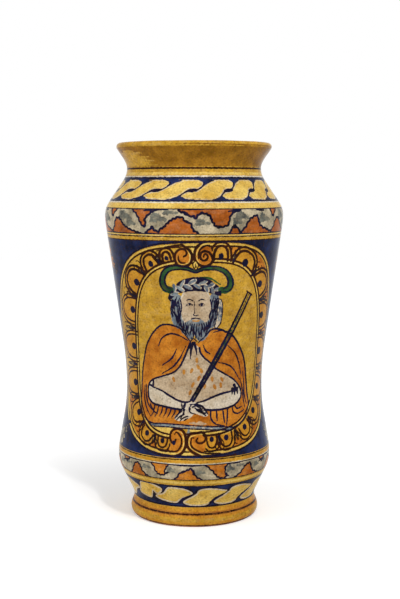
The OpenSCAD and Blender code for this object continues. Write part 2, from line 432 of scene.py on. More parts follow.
def bend_skin(tree, given, stored, number, turn, depth):
    """Puts every corner of the grid at its turn round the jar and its number on the outline."""
    r, z = on_outline(given, number, number.node("GeometryNodeInputPosition"))
    named = number.node("GeometryNodeInputNamedAttribute", {"data_type": "FLOAT_VECTOR"}, {"Name": "inward"})
    in_r, in_z = on_outline(given, number, named)
    sine, cosine = turn.math("SINE", turn), turn.math("COSINE", turn)

    def at(radius, height):
        return turn.node("ShaderNodeCombineXYZ", None, {0: radius * sine, 1: radius * cosine * -1, 2: height})

    bumps = turn.node("ShaderNodeTexNoise", {"noise_dimensions": "3D"},
                      {"Vector": at(r, z), "Scale": THROWN_SCALE, "Detail": 1.0})
    sunk = depth - (bumps - 0.5) * (2 * THROWN_UNEVENNESS * MM)
    moved = turn.node("GeometryNodeSetPosition", None,
                      {"Geometry": stored, "Position": at(r + in_r * sunk, z + in_z * sunk)})
    closed = turn.node("GeometryNodeMergeByDistance", None, {"Geometry": moved, "Distance": SEAM * MM})
    real = turn.node("GeometryNodeRealizeInstances", None, {"Geometry": closed})
    coated = turn.node("GeometryNodeSetMaterial", None, {"Geometry": real, "Material": given["Finish"]})
    end = tree.nodes.new("NodeGroupOutput")
    tree.links.new(coated.socket, end.inputs["Geometry"])


ring_tree, ring = new_tree("ring_skin", SKIN_INPUTS | {"From": "Float", "To": "Float"})
stored, across, along, depth = skin_grid(ring)
bend_skin(ring_tree, ring, stored, ring["From"].blend(ring["To"], along), across * math.tau, depth)
print(f"Ring tree: {len(ring_tree.nodes)} nodes")

# %% [markdown]
# The front of the jar has three zones inside one another: the panel, its frame and the blue field. The oval
# tree joins an inner edge to an outer edge. The panel starts from its own middle, and the field ends at the
# border of its ring, all the way round to the back.

# %% Tree for the oval zones
FIELD_R = 60
OVAL_INPUTS = {"Half Width": "Float", "Half Height": "Float", "Squareness": "Float", "Middle": "Float",
               "Turn": "Float", "From Angle": "Float", "To Angle": "Float", "Inner Scale": "Float",
               "Inner Margin": "Float", "Outer Margin": "Float", "To Border": "Float",
               "Border Low": "Float", "Border High": "Float"}

oval_tree, oval = new_tree("oval_skin", SKIN_INPUTS | OVAL_INPUTS)
stored, across, along, depth = skin_grid(oval)
angle = oval["From Angle"].blend(oval["To Angle"], across)
cosine, sine = angle.math("COSINE", angle), angle.math("SINE", angle)


def oval_edge(margin, scale):
    """Turn and height of an oval's edge, grown by a margin round the wall."""
    square = oval["Squareness"]
    ends = ((cosine, oval["Half Width"] + margin), (sine, oval["Half Height"] + margin))
    parts = [share.math("POWER", share.math("ABSOLUTE", share / half), square) for share, half in ends]
    far = angle.math("POWER", parts[0] + parts[1], -1 / square) * scale
    height = oval["Middle"] + far * sine
    radius, _ = on_outline(oval, height / (PATH_STEP * MM), height.node("GeometryNodeInputPosition"))
    return far * cosine / radius, height


inner_turn, inner_height = oval_edge(oval["Inner Margin"], oval["Inner Scale"])
outer_turn, outer_height = oval_edge(oval["Outer Margin"], 1.0)
border_half = (oval["Border High"] - oval["Border Low"]) / 2
border_wide = math.pi * FIELD_R * MM
reach = cosine.math("MAXIMUM", cosine.math("ABSOLUTE", cosine) / border_wide,
                    sine.math("ABSOLUTE", sine) / border_half)
border_turn = cosine / reach * (math.pi / border_wide)
border_height = (oval["Border Low"] + oval["Border High"]) / 2 + sine / reach
far_turn = outer_turn.blend(border_turn, oval["To Border"])
far_height = outer_height.blend(border_height, oval["To Border"])
turn = oval["Turn"] + inner_turn.blend(far_turn, along)
height = inner_height.blend(far_height, along)
bend_skin(oval_tree, oval, stored, height / (PATH_STEP * MM), turn, depth)
print(f"Oval tree: {len(oval_tree.nodes)} nodes")

# %% [markdown]
# A tree runs on an empty mesh, and the result becomes a plain mesh. A half ring has two open ends, which are
# capped.

# %% Making a skin
SHARP_DEG = 40


def make_skin(name, tree, finish, counts, sizes):
    """Runs a tree and keeps its result as the plain, closed mesh of a new piece."""
    columns, rows, hidden = counts
    skin = bpy.data.objects.new(name, bpy.data.meshes.new(name + "_start"))
    scene.collection.objects.link(skin)
    modifier = skin.modifiers.new("skin", "NODES")
    modifier.node_group = tree
    values = {"Outline": outline, "Columns": columns, "Rows": rows, "Hidden Rows": hidden,
              "Thickness": GLAZE_T * MM, "Finish": finish} | sizes
    for socket in tree.interface.items_tree:
        if socket.in_out == "INPUT":
            modifier[socket.identifier] = values[socket.name]
    made = skin.evaluated_get(bpy.context.evaluated_depsgraph_get())
    mesh = bpy.data.meshes.new_from_object(made)
    skin.modifiers.remove(modifier)
    start, skin.data = skin.data, mesh
    bpy.data.meshes.remove(start)
    work = bmesh.new()
    work.from_mesh(mesh)
    loose = [edge for edge in work.edges if not edge.link_faces]
    bmesh.ops.delete(work, geom=loose, context="EDGES")
    open_edges = [edge for edge in work.edges if edge.is_boundary]
    bmesh.ops.holes_fill(work, edges=open_edges, sides=0)
    work.to_mesh(mesh)
    volume = work.calc_volume(signed=True) / MM**3
    work.free()
    mesh.shade_smooth()
    mesh.set_sharp_from_angle(angle=math.radians(SHARP_DEG))
    print(f"{name}: {len(mesh.polygons)} faces, {volume / 1000:.1f} cm3")
    return skin


print("Skins can be made")

# %% [markdown]
# The grid's own coordinates are kept as the texture map and folded. A long ring is cut into strips that lie
# above one another, and a zone of the front is laid out flat as it lies on the wall. Every millimetre then
# gets about the same share of a square texture, and the hidden face gets a narrow margin.

# %% Texture maps
FRONT_SHARE = 0.9
STRIP_FILL = 0.96


def corner_map(mesh):
    """The texture map's values, and a function for the mean of a value on the face of each corner."""
    values = np.empty(2 * len(mesh.loops), np.float32)
    mesh.attributes["OFBake"].data.foreach_get("vector", values)
    sides = np.empty(len(mesh.polygons), np.int32)
    mesh.polygons.foreach_get("loop_total", sides)
    face = np.repeat(np.arange(len(sides)), sides)
    return values.reshape(-1, 2), lambda value: (np.bincount(face, value) / sides)[face]


def fold_map(skin, counts, strips):
    """Cuts the map of a ring into strips, with the hidden face in a narrow margin of each."""
    _, rows, hidden = counts
    values, mean = corner_map(skin.data)
    strip = np.minimum(np.floor(mean(values[:, 0]) * strips), strips - 1)
    row = values[:, 1] * (rows + hidden + EDGE_ROWS)
    values[:, 0] = values[:, 0] * strips - strip
    share = np.interp(row, [0, rows, rows + hidden + EDGE_ROWS], [0, FRONT_SHARE, 1])
    values[:, 1] = (strip + STRIP_FILL * share) / strips
    skin.data.attributes["OFBake"].data.foreach_set("vector", values.ravel())


def flat_map(skin, counts):
    """Lays the map of a front zone out flat as it lies on the wall, with the hidden face beside it."""
    _, rows, hidden = counts
    mesh = skin.data
    values, mean = corner_map(mesh)
    hidden_face = mean(values[:, 1]) * (rows + hidden + EDGE_ROWS) > rows
    place = np.empty(3 * len(mesh.vertices), np.float32)
    mesh.vertices.foreach_get("co", place)
    corner = np.empty(len(mesh.loops), np.int32)
    mesh.loops.foreach_get("vertex_index", corner)
    x, y, z = place.reshape(-1, 3)[corner].T
    turn = np.arctan2(x, -y)
    torn = np.abs(turn - mean(turn)) > math.pi / 2
    turn[torn] -= math.tau * np.sign(turn[torn])
    flat = np.stack([turn, z], 1)
    flat = (flat - flat.min(0)) / (flat.max(0) - flat.min(0))
    flat[:, 0] = np.where(hidden_face, FRONT_SHARE + (1 - FRONT_SHARE) * flat[:, 0], FRONT_SHARE * flat[:, 0])
    mesh.attributes["OFBake"].data.foreach_set("vector", flat.astype(np.float32).ravel())


print("Texture maps can be folded")

# %% [markdown]
# ## Pigments
#
# Every colour on the jar is a metal oxide: antimony and iron give the yellows, more iron the orange, cobalt
# the blue, copper the green and manganese the brown. A piece stores, for each pigment, the distance in
# millimetres from every corner to the edge of the nearest stroke. The shader turns that distance into an
# edge, lets it wander a little as a brush does, and thins the colour where the brush ran dry.

# %% Pigments
TIN_WHITE = (srgb(214, 204, 184), srgb(188, 174, 146))
SPECK_BROWN = srgb(70, 44, 22)
PIGMENTS = {
    "mustard": {"thin": srgb(206, 160, 54), "thick": srgb(166, 122, 32), "dry": 0.1, "edge": 0.25},
    "ochre": {"thin": srgb(166, 116, 32), "thick": srgb(118, 78, 12), "dry": 0.1, "edge": 0.4},
    "amber": {"thin": srgb(204, 148, 48), "thick": srgb(176, 116, 28), "dry": 0.25, "edge": 0.3},
    "cobalt": {"thin": srgb(34, 48, 92), "thick": srgb(5, 8, 30), "dry": 0.0, "edge": 0.35},
    "orange": {"thin": srgb(204, 130, 42), "thick": srgb(150, 78, 14), "dry": 0.1, "edge": 0.3},
    "sienna": {"thin": srgb(182, 100, 36), "thick": srgb(132, 64, 14), "dry": 0.1, "edge": 0.3},
    "straw": {"thin": srgb(226, 194, 104), "thick": srgb(198, 156, 60), "dry": 0.12, "edge": 0.25},
    "leaf": {"thin": srgb(204, 188, 156), "thick": srgb(120, 112, 92), "dry": 0.1, "edge": 0.5},
    "white": {"thin": srgb(208, 196, 176), "thick": srgb(184, 166, 138), "dry": 0.05, "edge": 0.2},
    "buff": {"thin": srgb(194, 172, 142), "thick": srgb(160, 134, 102), "dry": 0.35, "edge": 0.3},
    "wash": {"thin": srgb(124, 124, 110), "thick": srgb(66, 68, 66), "dry": 0.5, "edge": 0.9},
    "slate": {"thin": srgb(130, 140, 142), "thick": srgb(50, 64, 88), "dry": 0.3, "edge": 0.5},
    "rust": {"thin": srgb(186, 128, 52), "thick": srgb(156, 94, 32), "dry": 0.15, "edge": 0.3},
    "green": {"thin": srgb(44, 88, 50), "thick": srgb(6, 30, 20), "dry": 0.08, "edge": 0.35},
    "brown": {"thin": srgb(58, 26, 14), "thick": srgb(22, 8, 6), "dry": 0.0, "edge": 0.22},
    "ink": {"thin": srgb(22, 22, 54), "thick": srgb(5, 5, 18), "dry": 0.0, "edge": 0.22},
}
print(f"Pigments: {', '.join(PIGMENTS)}")

# %% [markdown]
# One function builds the finish of every painted skin. Each pigment is a layer over the tin white. Small
# noises, measured in waves per metre, give the wavering edge of a brush, pooled colour, grit, pits, pale
# flecks that are painted glints, and a faint relief under the gloss.

# %% Painted glaze
EDGE_SOFT = 0.2
BASE_ROUGH = 0.05
GLAZE_SPECULAR = 0.03
RELIEF = {"Strength": 0.16, "Distance": 0.4 * MM}
RUBBED_CLAY = srgb(186, 118, 60)
PAINTED_GLINT_LIGHTER = (1.3, 1.3, 1.3, 1)
WAVES = {"wander": 520, "ripple": 1500, "cloud": 38, "streak": 150, "speck": 1100, "dry": 210, "pool": 120,
         "grit": 700, "pitted": 60, "relief": 330, "rub": 420}


def finish_start(name):
    """A new material with an empty tree, as a wire, and its object coordinates."""
    material = bpy.data.materials.new(name)
    material.use_nodes = True
    material.node_tree.nodes.clear()
    paint_tree = Wire(material.node_tree)
    return material, paint_tree, paint_tree.node("ShaderNodeTexCoord", out="Object")


def grain(place, scale, detail=2.0, stretch=(1, 1, 1), shift=0.0):
    """Noise from about 0 to 1 with a number of waves per metre, stretched along an axis."""
    mapping = {"Vector": place, "Location": (shift,) * 3, "Scale": stretch}
    moved = place.node("ShaderNodeMapping", None, mapping)
    return place.node("ShaderNodeTexNoise", None, {"Vector": moved, "Scale": scale, "Detail": detail})


def two_tone(paint_tree, share, first, second):
    """From one colour to another as share goes from 0 to 1."""
    return paint_tree.node("ShaderNodeMix", {"data_type": "RGBA"}, {0: share, 6: first, 7: second}, out=2)


def painted_glaze(name, pigments, wear=0.0):
    """Gloss over tin white, with a layer for each pigment in the order of the list above."""
    material, paint_tree, place = finish_start(name)
    wander = grain(place, WAVES["wander"], 2) - 0.5
    ripple = grain(place, WAVES["ripple"], 1) - 0.5
    cloud = grain(place, WAVES["cloud"], 3)
    streak = grain(place, WAVES["streak"], 3, (1, 1, 3.2))
    speck = grain(place, WAVES["speck"], 2)
    colour = two_tone(paint_tree, cloud.step(0.3, 0.75), *TIN_WHITE)
    thickness = cloud * 0.2
    for order, (pigment, look) in enumerate(PIGMENTS.items()):
        if pigment not in pigments:
            continue
        distance = paint_tree.node("ShaderNodeAttribute", {"attribute_name": pigment}, out="Fac")
        edge = distance + wander * (4 * look["edge"]) + ripple * (1.6 * look["edge"])
        dry = grain(place, WAVES["dry"], 3, (1, 1, 1.6), 3.1 * order + 1)
        strength = 1 - look["dry"] * (1 - (0.62 * dry + 0.38 * streak).step(0.3, 0.56))
        share = (1 - edge.step(-EDGE_SOFT, EDGE_SOFT)) * strength
        pool = grain(place, WAVES["pool"], 4, (1, 1, 1), 5.7 * order)
        pool = (0.4 * cloud + 0.6 * pool).step(0.32, 0.7)
        colour = colour.tint(two_tone(paint_tree, pool, look["thin"], look["thick"]), share)
        thickness = thickness + share * 0.35
    grit = grain(place, WAVES["grit"], 3, (1, 1, 1), 4.0)
    colour = colour.tint(SPECK_BROWN, grit.step(0.5, 0.76) * 0.5)
    # Where the grit noise is low the colour is brightened in small flecks: painted glints on the glaze.
    painted_glint_flecks = {0: grit.step(0.5, 0.3) * 0.6, 6: colour, 7: PAINTED_GLINT_LIGHTER}
    colour = paint_tree.node("ShaderNodeMix", {"data_type": "RGBA", "blend_type": "MULTIPLY"}, painted_glint_flecks, out=2)
    pit = speck.step(0.72, 0.78) * grain(place, WAVES["pitted"], 2, (1, 1, 1), 9.0).step(0.5, 0.62)
    colour = colour.tint(SPECK_BROWN, pit * 0.7)
    height = thickness + grain(place, WAVES["relief"], 2) * 0.5 - pit * 0.8
    bump = paint_tree.node("ShaderNodeBump", None, RELIEF | {"Height": height})
    gloss = BASE_ROUGH + 0.14 * cloud + 0.1 * streak + pit * 0.3
    if wear:
        rub = grain(place, WAVES["rub"], 4).step(0.6 - wear, 0.75 - wear)
        colour = colour.tint(RUBBED_CLAY, rub * 0.25)
        gloss = gloss + rub * 0.3
    shader = paint_tree.node("ShaderNodeBsdfPrincipled", None,
                             {"Base Color": colour, "Roughness": gloss, "Normal": bump,
                              "Specular IOR Level": GLAZE_SPECULAR})
    paint_tree.node("ShaderNodeOutputMaterial", None, {"Surface": shader})
    return material


print(f"Painted glaze: {len(WAVES)} noises")

# %% [markdown]
# ## Brush
#
# A stroke is a smooth curve through a few points, given in millimetres on the unrolled wall: how far round
# from the middle of the motif, and how high. Ragged leaves have a scalloped edge, and the medallion is made
# of rounded ovals.

# %% Curves
CURVE_STEPS = 6
LOBE_DRIFT, LOBE_WAVES = 0.8, 3


def smooth(points, closed=False):
    """A curve through the points, with a few steps between each two."""
    points = np.array(points, float)
    if len(points) < 3:
        return points
    if closed:
        padded = np.concatenate([points[-1:], points, points[:2]])
    else:
        padded = np.concatenate([2 * points[:1] - points[1:2], points, 2 * points[-1:] - points[-2:-1]])
    before, start, end, after = padded[:-3], padded[1:-2], padded[2:-1], padded[3:]
    t = np.linspace(0, 1, CURVE_STEPS, endpoint=False)[:, None, None]
    curve = start + t * (end - before) / 2
    curve = curve + t**2 * (before - 2.5 * start + 2 * end - after / 2)
    curve = curve + t**3 * (1.5 * (start - end) + (after - before) / 2)
    curve = curve.transpose(1, 0, 2).reshape(-1, 2)
    return curve if closed else np.concatenate([curve, points[-1:]])


def scalloped(points, depth, pitch):
    """A closed curve through the points, with uneven round lobes of about one pitch along its edge."""
    curve = smooth(points, closed=True)
    step = (np.roll(curve, -1, 0) - np.roll(curve, 1, 0)) / 2
    length = np.linalg.norm(step, axis=1)
    run = np.cumsum(length)
    share = run / run[-1]
    lobes = max(3, round(run[-1] / pitch))
    drift = LOBE_DRIFT * np.sin(LOBE_WAVES * math.tau * share)
    swell = depth * np.abs(np.sin(math.pi * lobes * share + drift))
    turning = np.sign(np.sum(curve[:, 0] * np.roll(curve[:, 1], -1) - np.roll(curve[:, 0], -1) * curve[:, 1]))
    outwards = turning * np.stack([step[:, 1], -step[:, 0]], 1) / length[:, None]
    return curve + outwards * (swell - depth / 2)[:, None]


def oval_distance(x, y, half_x, half_y, square):
    """About how far a point is outside a rounded oval, and less than zero inside."""
    x, y = np.maximum(np.abs(x) / half_x, 1e-6), np.maximum(np.abs(y) / half_y, 1e-6)
    size = (x**square + y**square) ** (1 / square)
    steep = size ** (1 - square) * np.hypot(x ** (square - 1) / half_x, y ** (square - 1) / half_y)
    return (size - 1) / steep


print("Curves can be drawn")

# %% [markdown]
# The brush measures how far each corner of a mesh is from a curve, and skips the corners that are far from
# the stroke. A second stroke of the same pigment keeps the nearer distance, so strokes join.


# %% Brush
FAR = 8.0
EVERYWHERE = slice(None)


class Brush:
    """Lays strokes on the unrolled wall of one skin."""

    def __init__(self, skin, pigments):
        self.mesh = skin.data
        place = np.empty(3 * len(self.mesh.vertices), np.float32)
        self.mesh.vertices.foreach_get("co", place)
        x, y, z = place.reshape(-1, 3).astype(float).T / MM
        self.turn = np.arctan2(x, -y)
        self.height = z
        self.radius = wall_r(np.clip(z, 0, flare_top))
        self.coats = {pigment: np.full(len(z), FAR) for pigment in pigments}
        self.face(0)

    def face(self, degrees, radius=None):
        """Puts the middle of the next motifs at an angle round the jar."""
        turn = (self.turn - math.radians(degrees) + math.pi) % math.tau - math.pi
        self.across = turn * (self.radius if radius is None else radius)

    def near(self, points, reach):
        """The corners that a stroke through some points can reach."""
        low, high = points.min(0) - reach, points.max(0) + reach
        return np.flatnonzero((self.across > low[0]) & (self.across < high[0])
                              & (self.height > low[1]) & (self.height < high[1]))

    def lay(self, pigment, chosen, distance):
        """Adds paint to the chosen corners, where the new edge is nearer than the one before."""
        coat = self.coats[pigment]
        coat[chosen] = np.minimum(coat[chosen], distance)

    def ways(self, chosen, curve, closed):
        """Distance of each chosen corner to the curve, and the share of the curve where it is nearest."""
        start = curve if closed else curve[:-1]
        step = (np.roll(curve, -1, 0) if closed else curve[1:]) - start
        x = self.across[chosen, None] - start[:, 0]
        y = self.height[chosen, None] - start[:, 1]
        length = np.maximum((step**2).sum(1), 1e-9)
        t = np.clip((x * step[:, 0] + y * step[:, 1]) / length, 0, 1)
        gap = np.hypot(x - t * step[:, 0], y - t * step[:, 1])
        best = gap.argmin(1)
        row = np.arange(len(chosen))
        return gap[row, best], (best + t[row, best]) / len(start)

    def line(self, pigment, points, width, closed=False):
        """A stroke along a curve. Its width is one number, or widths from its start to its end."""
        curve = smooth(points, closed)
        widths = np.atleast_1d(width) / 2
        chosen = self.near(curve, FAR / 2 + widths.max())
        if len(chosen):
            gap, share = self.ways(chosen, curve, closed)
            self.lay(pigment, chosen, gap - np.interp(share, np.linspace(0, 1, len(widths)), widths))

    def patch(self, pigment, points, sharp=False, grow=0.0):
        """A filled shape with a curved outline, or with straight sides, grown or shrunk by a margin."""
        curve = np.array(points, float) if sharp else smooth(points, closed=True)
        chosen = self.near(curve, FAR / 2)
        if not len(chosen):
            return
        gap, _ = self.ways(chosen, curve, True)
        x, y = self.across[chosen, None], self.height[chosen, None]
        (x0, y0), (x1, y1) = curve.T, np.roll(curve, -1, 0).T
        rise = np.where(y1 == y0, 1e-9, y1 - y0)
        crossed = ((y0 > y) != (y1 > y)) & (x < x0 + (y - y0) * (x1 - x0) / rise)
        self.lay(pigment, chosen, np.where(crossed.sum(1) % 2, -gap, gap) - grow)

    def oval(self, place, half, lean):
        """The corners near an oval that leans by some degrees, and how far outside it they are."""
        half_x, half_y = np.broadcast_to(half, 2)
        place = np.array([place], float)
        chosen = self.near(place, FAR / 2 + max(half_x, half_y))
        x, y = self.across[chosen] - place[0, 0], self.height[chosen] - place[0, 1]
        cosine, sine = math.cos(math.radians(lean)), math.sin(math.radians(lean))
        return chosen, oval_distance(x * cosine + y * sine, y * cosine - x * sine, half_x, half_y, 2)

    def dot(self, pigment, place, half, lean=0.0):
        """A filled oval."""
        self.lay(pigment, *self.oval(place, half, lean))

    def wipe(self, pigments, place, half, lean=0.0):
        """Takes some pigments off inside an oval."""
        chosen, distance = self.oval(place, half, lean)
        for pigment in pigments:
            coat = self.coats[pigment]
            coat[chosen] = np.maximum(coat[chosen], -distance)

    def edging(self, pigment, over, width, inset=0.0):
        """A line along every edge of another pigment, or set in from it."""
        self.lay(pigment, EVERYWHERE, np.abs(self.coats[over] + inset) - width / 2)

    def stripe(self, pigment, low, high):
        """A ring all the way round."""
        self.lay(pigment, EVERYWHERE, np.abs(self.height - (low + high) / 2) - (high - low) / 2)

    def done(self):
        """Stores the distances on the mesh."""
        for pigment, coat in self.coats.items():
            stored = self.mesh.attributes.new(pigment, "FLOAT", "POINT")
            stored.data.foreach_set("value", np.clip(coat, -FAR, FAR).astype(np.float32))


print("The brush is ready")

# %% [markdown]
# ## Rings
#
# Most of the wall is painted in rings, each a skin of its own: the foot, two rope bands, two leaf bands and
# the yellow stripes between them. Their heights come from the frame. All of them use the same tree, and rings
# of one kind share a finish.

# %% Rings of glaze
MAP_STRIPS = 5
FINISHES = {
    "foot_glaze": {"pigments": ("mustard", "amber", "rust", "brown"), "wear": 0.12},
    "rope_glaze": {"pigments": ("cobalt", "straw", "white", "ink")},
    "leaf_glaze": {"pigments": ("orange", "sienna", "leaf", "wash", "ink")},
    "yellow_glaze": {"pigments": ("mustard", "amber", "straw", "brown", "ink")},
}
RINGS = {
    "foot_glaze": {"node": "foot_glaze", "slot": "foot_glaze", "fine": (400, 20, 3)},
    "foot_stripe": {"node": "foot_stripe", "slot": "foot_glaze", "fine": (400, 12, 2)},
    "base_rope": {"node": "base_rope_band", "slot": "rope_glaze", "fine": (760, 36, 4)},
    "base_leaf": {"node": "base_leaf_band", "slot": "leaf_glaze", "fine": (760, 28, 3)},
    "shoulder_leaf": {"node": "shoulder_leaf_band", "slot": "leaf_glaze", "fine": (800, 36, 4)},
    "shoulder_rope": {"node": "shoulder_rope_band", "slot": "rope_glaze", "fine": (760, 40, 4)},
    "base_stripe": {"between": ("base_rope_band", "base_leaf_band")},
    "lower_fillet": {"between": ("base_leaf_band", "blue_field")},
    "upper_fillet": {"between": ("blue_field", "shoulder_leaf_band")},
    "shoulder_stripe": {"between": ("shoulder_leaf_band", "shoulder_rope_band")},
    "collar_stripe": {"between": ("shoulder_rope_band", "rim_glaze")},
}
YELLOW_RING = {"node": "yellow_stripes", "slot": "yellow_glaze", "fine": (400, 16, 2)}

finishes = {slot: painted_glaze(slot, **look) for slot, look in FINISHES.items()}
pieces = {}
brushes = {}
for name, ring_look in RINGS.items():
    if "between" in ring_look:
        below, above = ring_look["between"]
        ring_look = YELLOW_RING
        low, high = level(below)[1], level(above)[0]
    else:
        low, high = level(ring_look["node"])
    slot, fine = ring_look["slot"], ring_look["fine"]
    ends = {"From": low / PATH_STEP, "To": high / PATH_STEP}
    pieces[name] = make_skin(name, ring_tree, finishes[slot], fine, ends)
    fold_map(pieces[name], fine, MAP_STRIPS)
    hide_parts(ring_look["node"])
    brushes[name] = Brush(pieces[name], FINISHES[slot]["pigments"])
print(f"Rings: {len(RINGS)} skins in {len(FINISHES)} finishes")

# %% [markdown]
# The stripes are plain rings of yellow with thin dark lines at their borders, drawn while the jar turned on
# the wheel. The yellow is laid in two strengths. On the foot, the brown line and soft rust band at its step
# are partly a painted line and partly painted shade in the step, and the brown at its bottom edge is a
# painted contact shadow.

# %% Stripes and foot
STRIPE_LINES = {
    "collar_stripe": (("mustard", 273.8, 279.4), ("straw", 274.4, 276.4), ("brown", 278.7, 280.2)),
    "shoulder_stripe": (("straw", 249, 253.3), ("mustard", 249.4, 253.0), ("ink", 254.2, 255.5)),
    "upper_fillet": (("mustard", 224, 228), ("straw", 228.6, 231), ("brown", 227.9, 228.8),
                     ("brown", 224.4, 225.6)),
    "lower_fillet": (("mustard", 53.6, 58), ("amber", 54.4, 55.8), ("brown", 56.4, 57.2)),
    "base_stripe": (("mustard", 35, 40.4), ("straw", 36.6, 38.8), ("brown", 39.9, 40.7), ("ink", 33.6, 35.2)),
    # At the foot's step the brown line and the soft rust band round it are partly a painted line and partly
    # painted shade in the step.
    "foot_stripe": (("mustard", 10, 16), ("amber", 11.4, 15.0), ("rust", 9.0, 12.0), ("brown", 9.6, 11.0)),
    # The brown from 0 to 1.9 mm on the foot's bottom edge is a painted contact shadow.
    "foot_glaze": (("mustard", 0, 10), ("amber", 1.6, 4.2), ("amber", 7.2, 9.2), ("rust", 9.0, 12.0),
                   ("brown", 9.6, 11.0), ("brown", 0, 1.9)),
}
for name, stripes in STRIPE_LINES.items():
    for pigment, low, high in stripes:
        brushes[name].stripe(pigment, low, high)
print(f"Stripes: {sum(map(len, STRIPE_LINES.values()))} lines on {len(STRIPE_LINES)} rings")

# %% [markdown]
# ## Rope bands
#
# Two bands show a twisted rope. Each link is a long leaf of yellow that passes over the next, with a small
# dark eye where two links meet. On the shoulder one set of points gives a link by its slant and the band's
# height, because the links there grow shorter from left to right.

# %% Rope on the shoulder
LINK_FOOT = ((-1.0, -0.57), (-0.78, -0.74), (-0.38, -0.91))
LINK_RIGHT = ((-2.3, -0.96), (-1.78, -0.83), (-1.32, -0.64), (-1.08, -0.5), (-0.82, -0.28), (-0.58, -0.05),
              (-0.28, 0.1), (0.05, 0.12), (0.4, 0.1), (0.66, 0.2), (0.88, 0.4), (0.97, 0.6), (0.9, 0.8),
              (0.6, 0.94), (0.2, 1.0))
LINK_LEFT = ((2.1, 0.92), (1.5, 0.69), (1.12, 0.44), (0.74, 0.17), (0.36, -0.1), (-0.1, -0.18), (-0.5, -0.25),
             (-0.84, -0.42))
LINK_SEAMS = (((-1.08, -0.58), (-0.8, -0.34), (-0.44, -0.1)),
              ((0.4, 0.0), (0.74, 0.22), (0.96, 0.48), (1.08, 0.72)))
LINK_UNDER, LINK_OVER = (0.42, -0.99), (0.6, 1.0)
ROPE_Z, ROPE_HALF, ROPE_LINKS = 263.0, 7.5, 15
ROPE_GROUND, ROPE_LINES = (250, 272.8), ((254.2, 255.1), (271.6, 272.6))
ROPE_EYE, ROPE_EYE_DROP, ROPE_EYE_LEAN = (4.1, 1.35), 0.4, 7
SEAM_W = 1.1
FRONT_TURNS = (-52.2, -27.5, -1.0, 24.7, 45.2, 66.1)
FRONT_SLANTS = (9.5, 9.7, 8.5, 6.0, 5.5, 5.0)
BACK_SLANT = 8.0

turns = list(FRONT_TURNS)
turns += list(np.linspace(turns[-1], turns[0] + 360, ROPE_LINKS - len(turns) + 2)[1:])
slants = list(FRONT_SLANTS) + [BACK_SLANT] * (ROPE_LINKS - len(FRONT_SLANTS)) + [FRONT_SLANTS[0]]
brush = brushes["shoulder_rope"]
radius = float(wall_r(np.array(ROPE_Z)))
brush.stripe("cobalt", *ROPE_GROUND)
for i in range(ROPE_LINKS):
    width = math.radians(turns[i + 1] - turns[i]) * radius
    link = [(slants[i] * x, y) for x, y in LINK_FOOT] + [(LINK_UNDER[0] * width, LINK_UNDER[1])]
    link += [(width + slants[i + 1] * x, y) for x, y in LINK_RIGHT] + [(LINK_OVER[0] * width, LINK_OVER[1])]
    link += [(slants[i] * x, y) for x, y in LINK_LEFT]
    brush.face(turns[i], radius)
    brush.patch("straw", [(x, ROPE_Z + ROPE_HALF * y) for x, y in link])
    for seam in LINK_SEAMS:
        brush.line("ink", [(slants[i] * x, ROPE_Z + ROPE_HALF * y) for x, y in seam], SEAM_W)
    brush.dot("ink", (0.02 * slants[i], ROPE_Z - ROPE_EYE_DROP), ROPE_EYE, ROPE_EYE_LEAN)
brush.edging("white", "straw", 0.5, inset=0.5)
for line in ROPE_LINES:
    brush.stripe("ink", *line)
print(f"Rope on the shoulder: {ROPE_LINKS} links")

# %% [markdown]
# At the base the front links differ in shape, so each has its own points, and the last of them goes on round
# the back.

# %% Rope on the base
BASE_LINKS = (
    ((-47.5, 34), (-38, 34.5), (-30, 32.5), (-26.5, 30.5), (-27.5, 27.5), (-31, 25.5), (-34.5, 28),
     (-35.5, 24.5), (-37, 21), (-44, 21.5), (-50, 23.5), (-49, 28)),
    ((-32, 23), (-30, 25), (-25, 27), (-22, 31.5), (-19, 33), (-10, 32.5), (-4, 30.5), (-1.5, 28),
     (-4, 25.5), (-8, 24.5), (-11, 22.5), (-14, 19.5), (-20, 19.5), (-28, 21)),
    ((-8.5, 20), (-6, 22.5), (-2, 25), (2, 28), (4, 31), (9, 32.3), (16, 32), (22, 30.5), (27, 29),
     (26.5, 27), (22, 25.5), (18, 23.5), (14, 20.5), (9, 17.8), (2, 17), (-5, 18)))
BASE_SEAM = ((-11.6, 19.4), (-8.6, 22.8), (-4.8, 25.2), (-0.4, 27.6), (1.8, 30.8))
BASE_SEAM_W = (2.4, 2.6, 1.8, 1.4, 1.6)
BASE_GROUND, BASE_LINE = (14, 36), (15.2, 17.0)
BASE_GROW = 0.4
BASE_STEP_DEG = 27.8
BASE_COPIES = 10

brush = brushes["base_rope"]
brush.stripe("cobalt", *BASE_GROUND)
for link in BASE_LINKS:
    brush.patch("straw", link, grow=BASE_GROW)
for i in range(BASE_COPIES + 1):
    brush.face(BASE_STEP_DEG * i)
    brush.patch("straw", BASE_LINKS[-1], grow=BASE_GROW)
    brush.line("ink", BASE_SEAM, BASE_SEAM_W)
brush.edging("white", "straw", 1.0, inset=0.7)
brush.edging("ink", "straw", 0.8, inset=-0.5)
brush.stripe("ink", *BASE_LINE)
print(f"Rope on the base: {len(BASE_LINKS) + BASE_COPIES} links")

# %% [markdown]
# ## Leaf bands
#
# A pale ragged leaf winds along each band. It fills most of the band and leaves windows of warm ground at the
# top and at the bottom in turn, so the windows are what is drawn. The ground is a darker sienna on the
# shoulder and orange on the base.

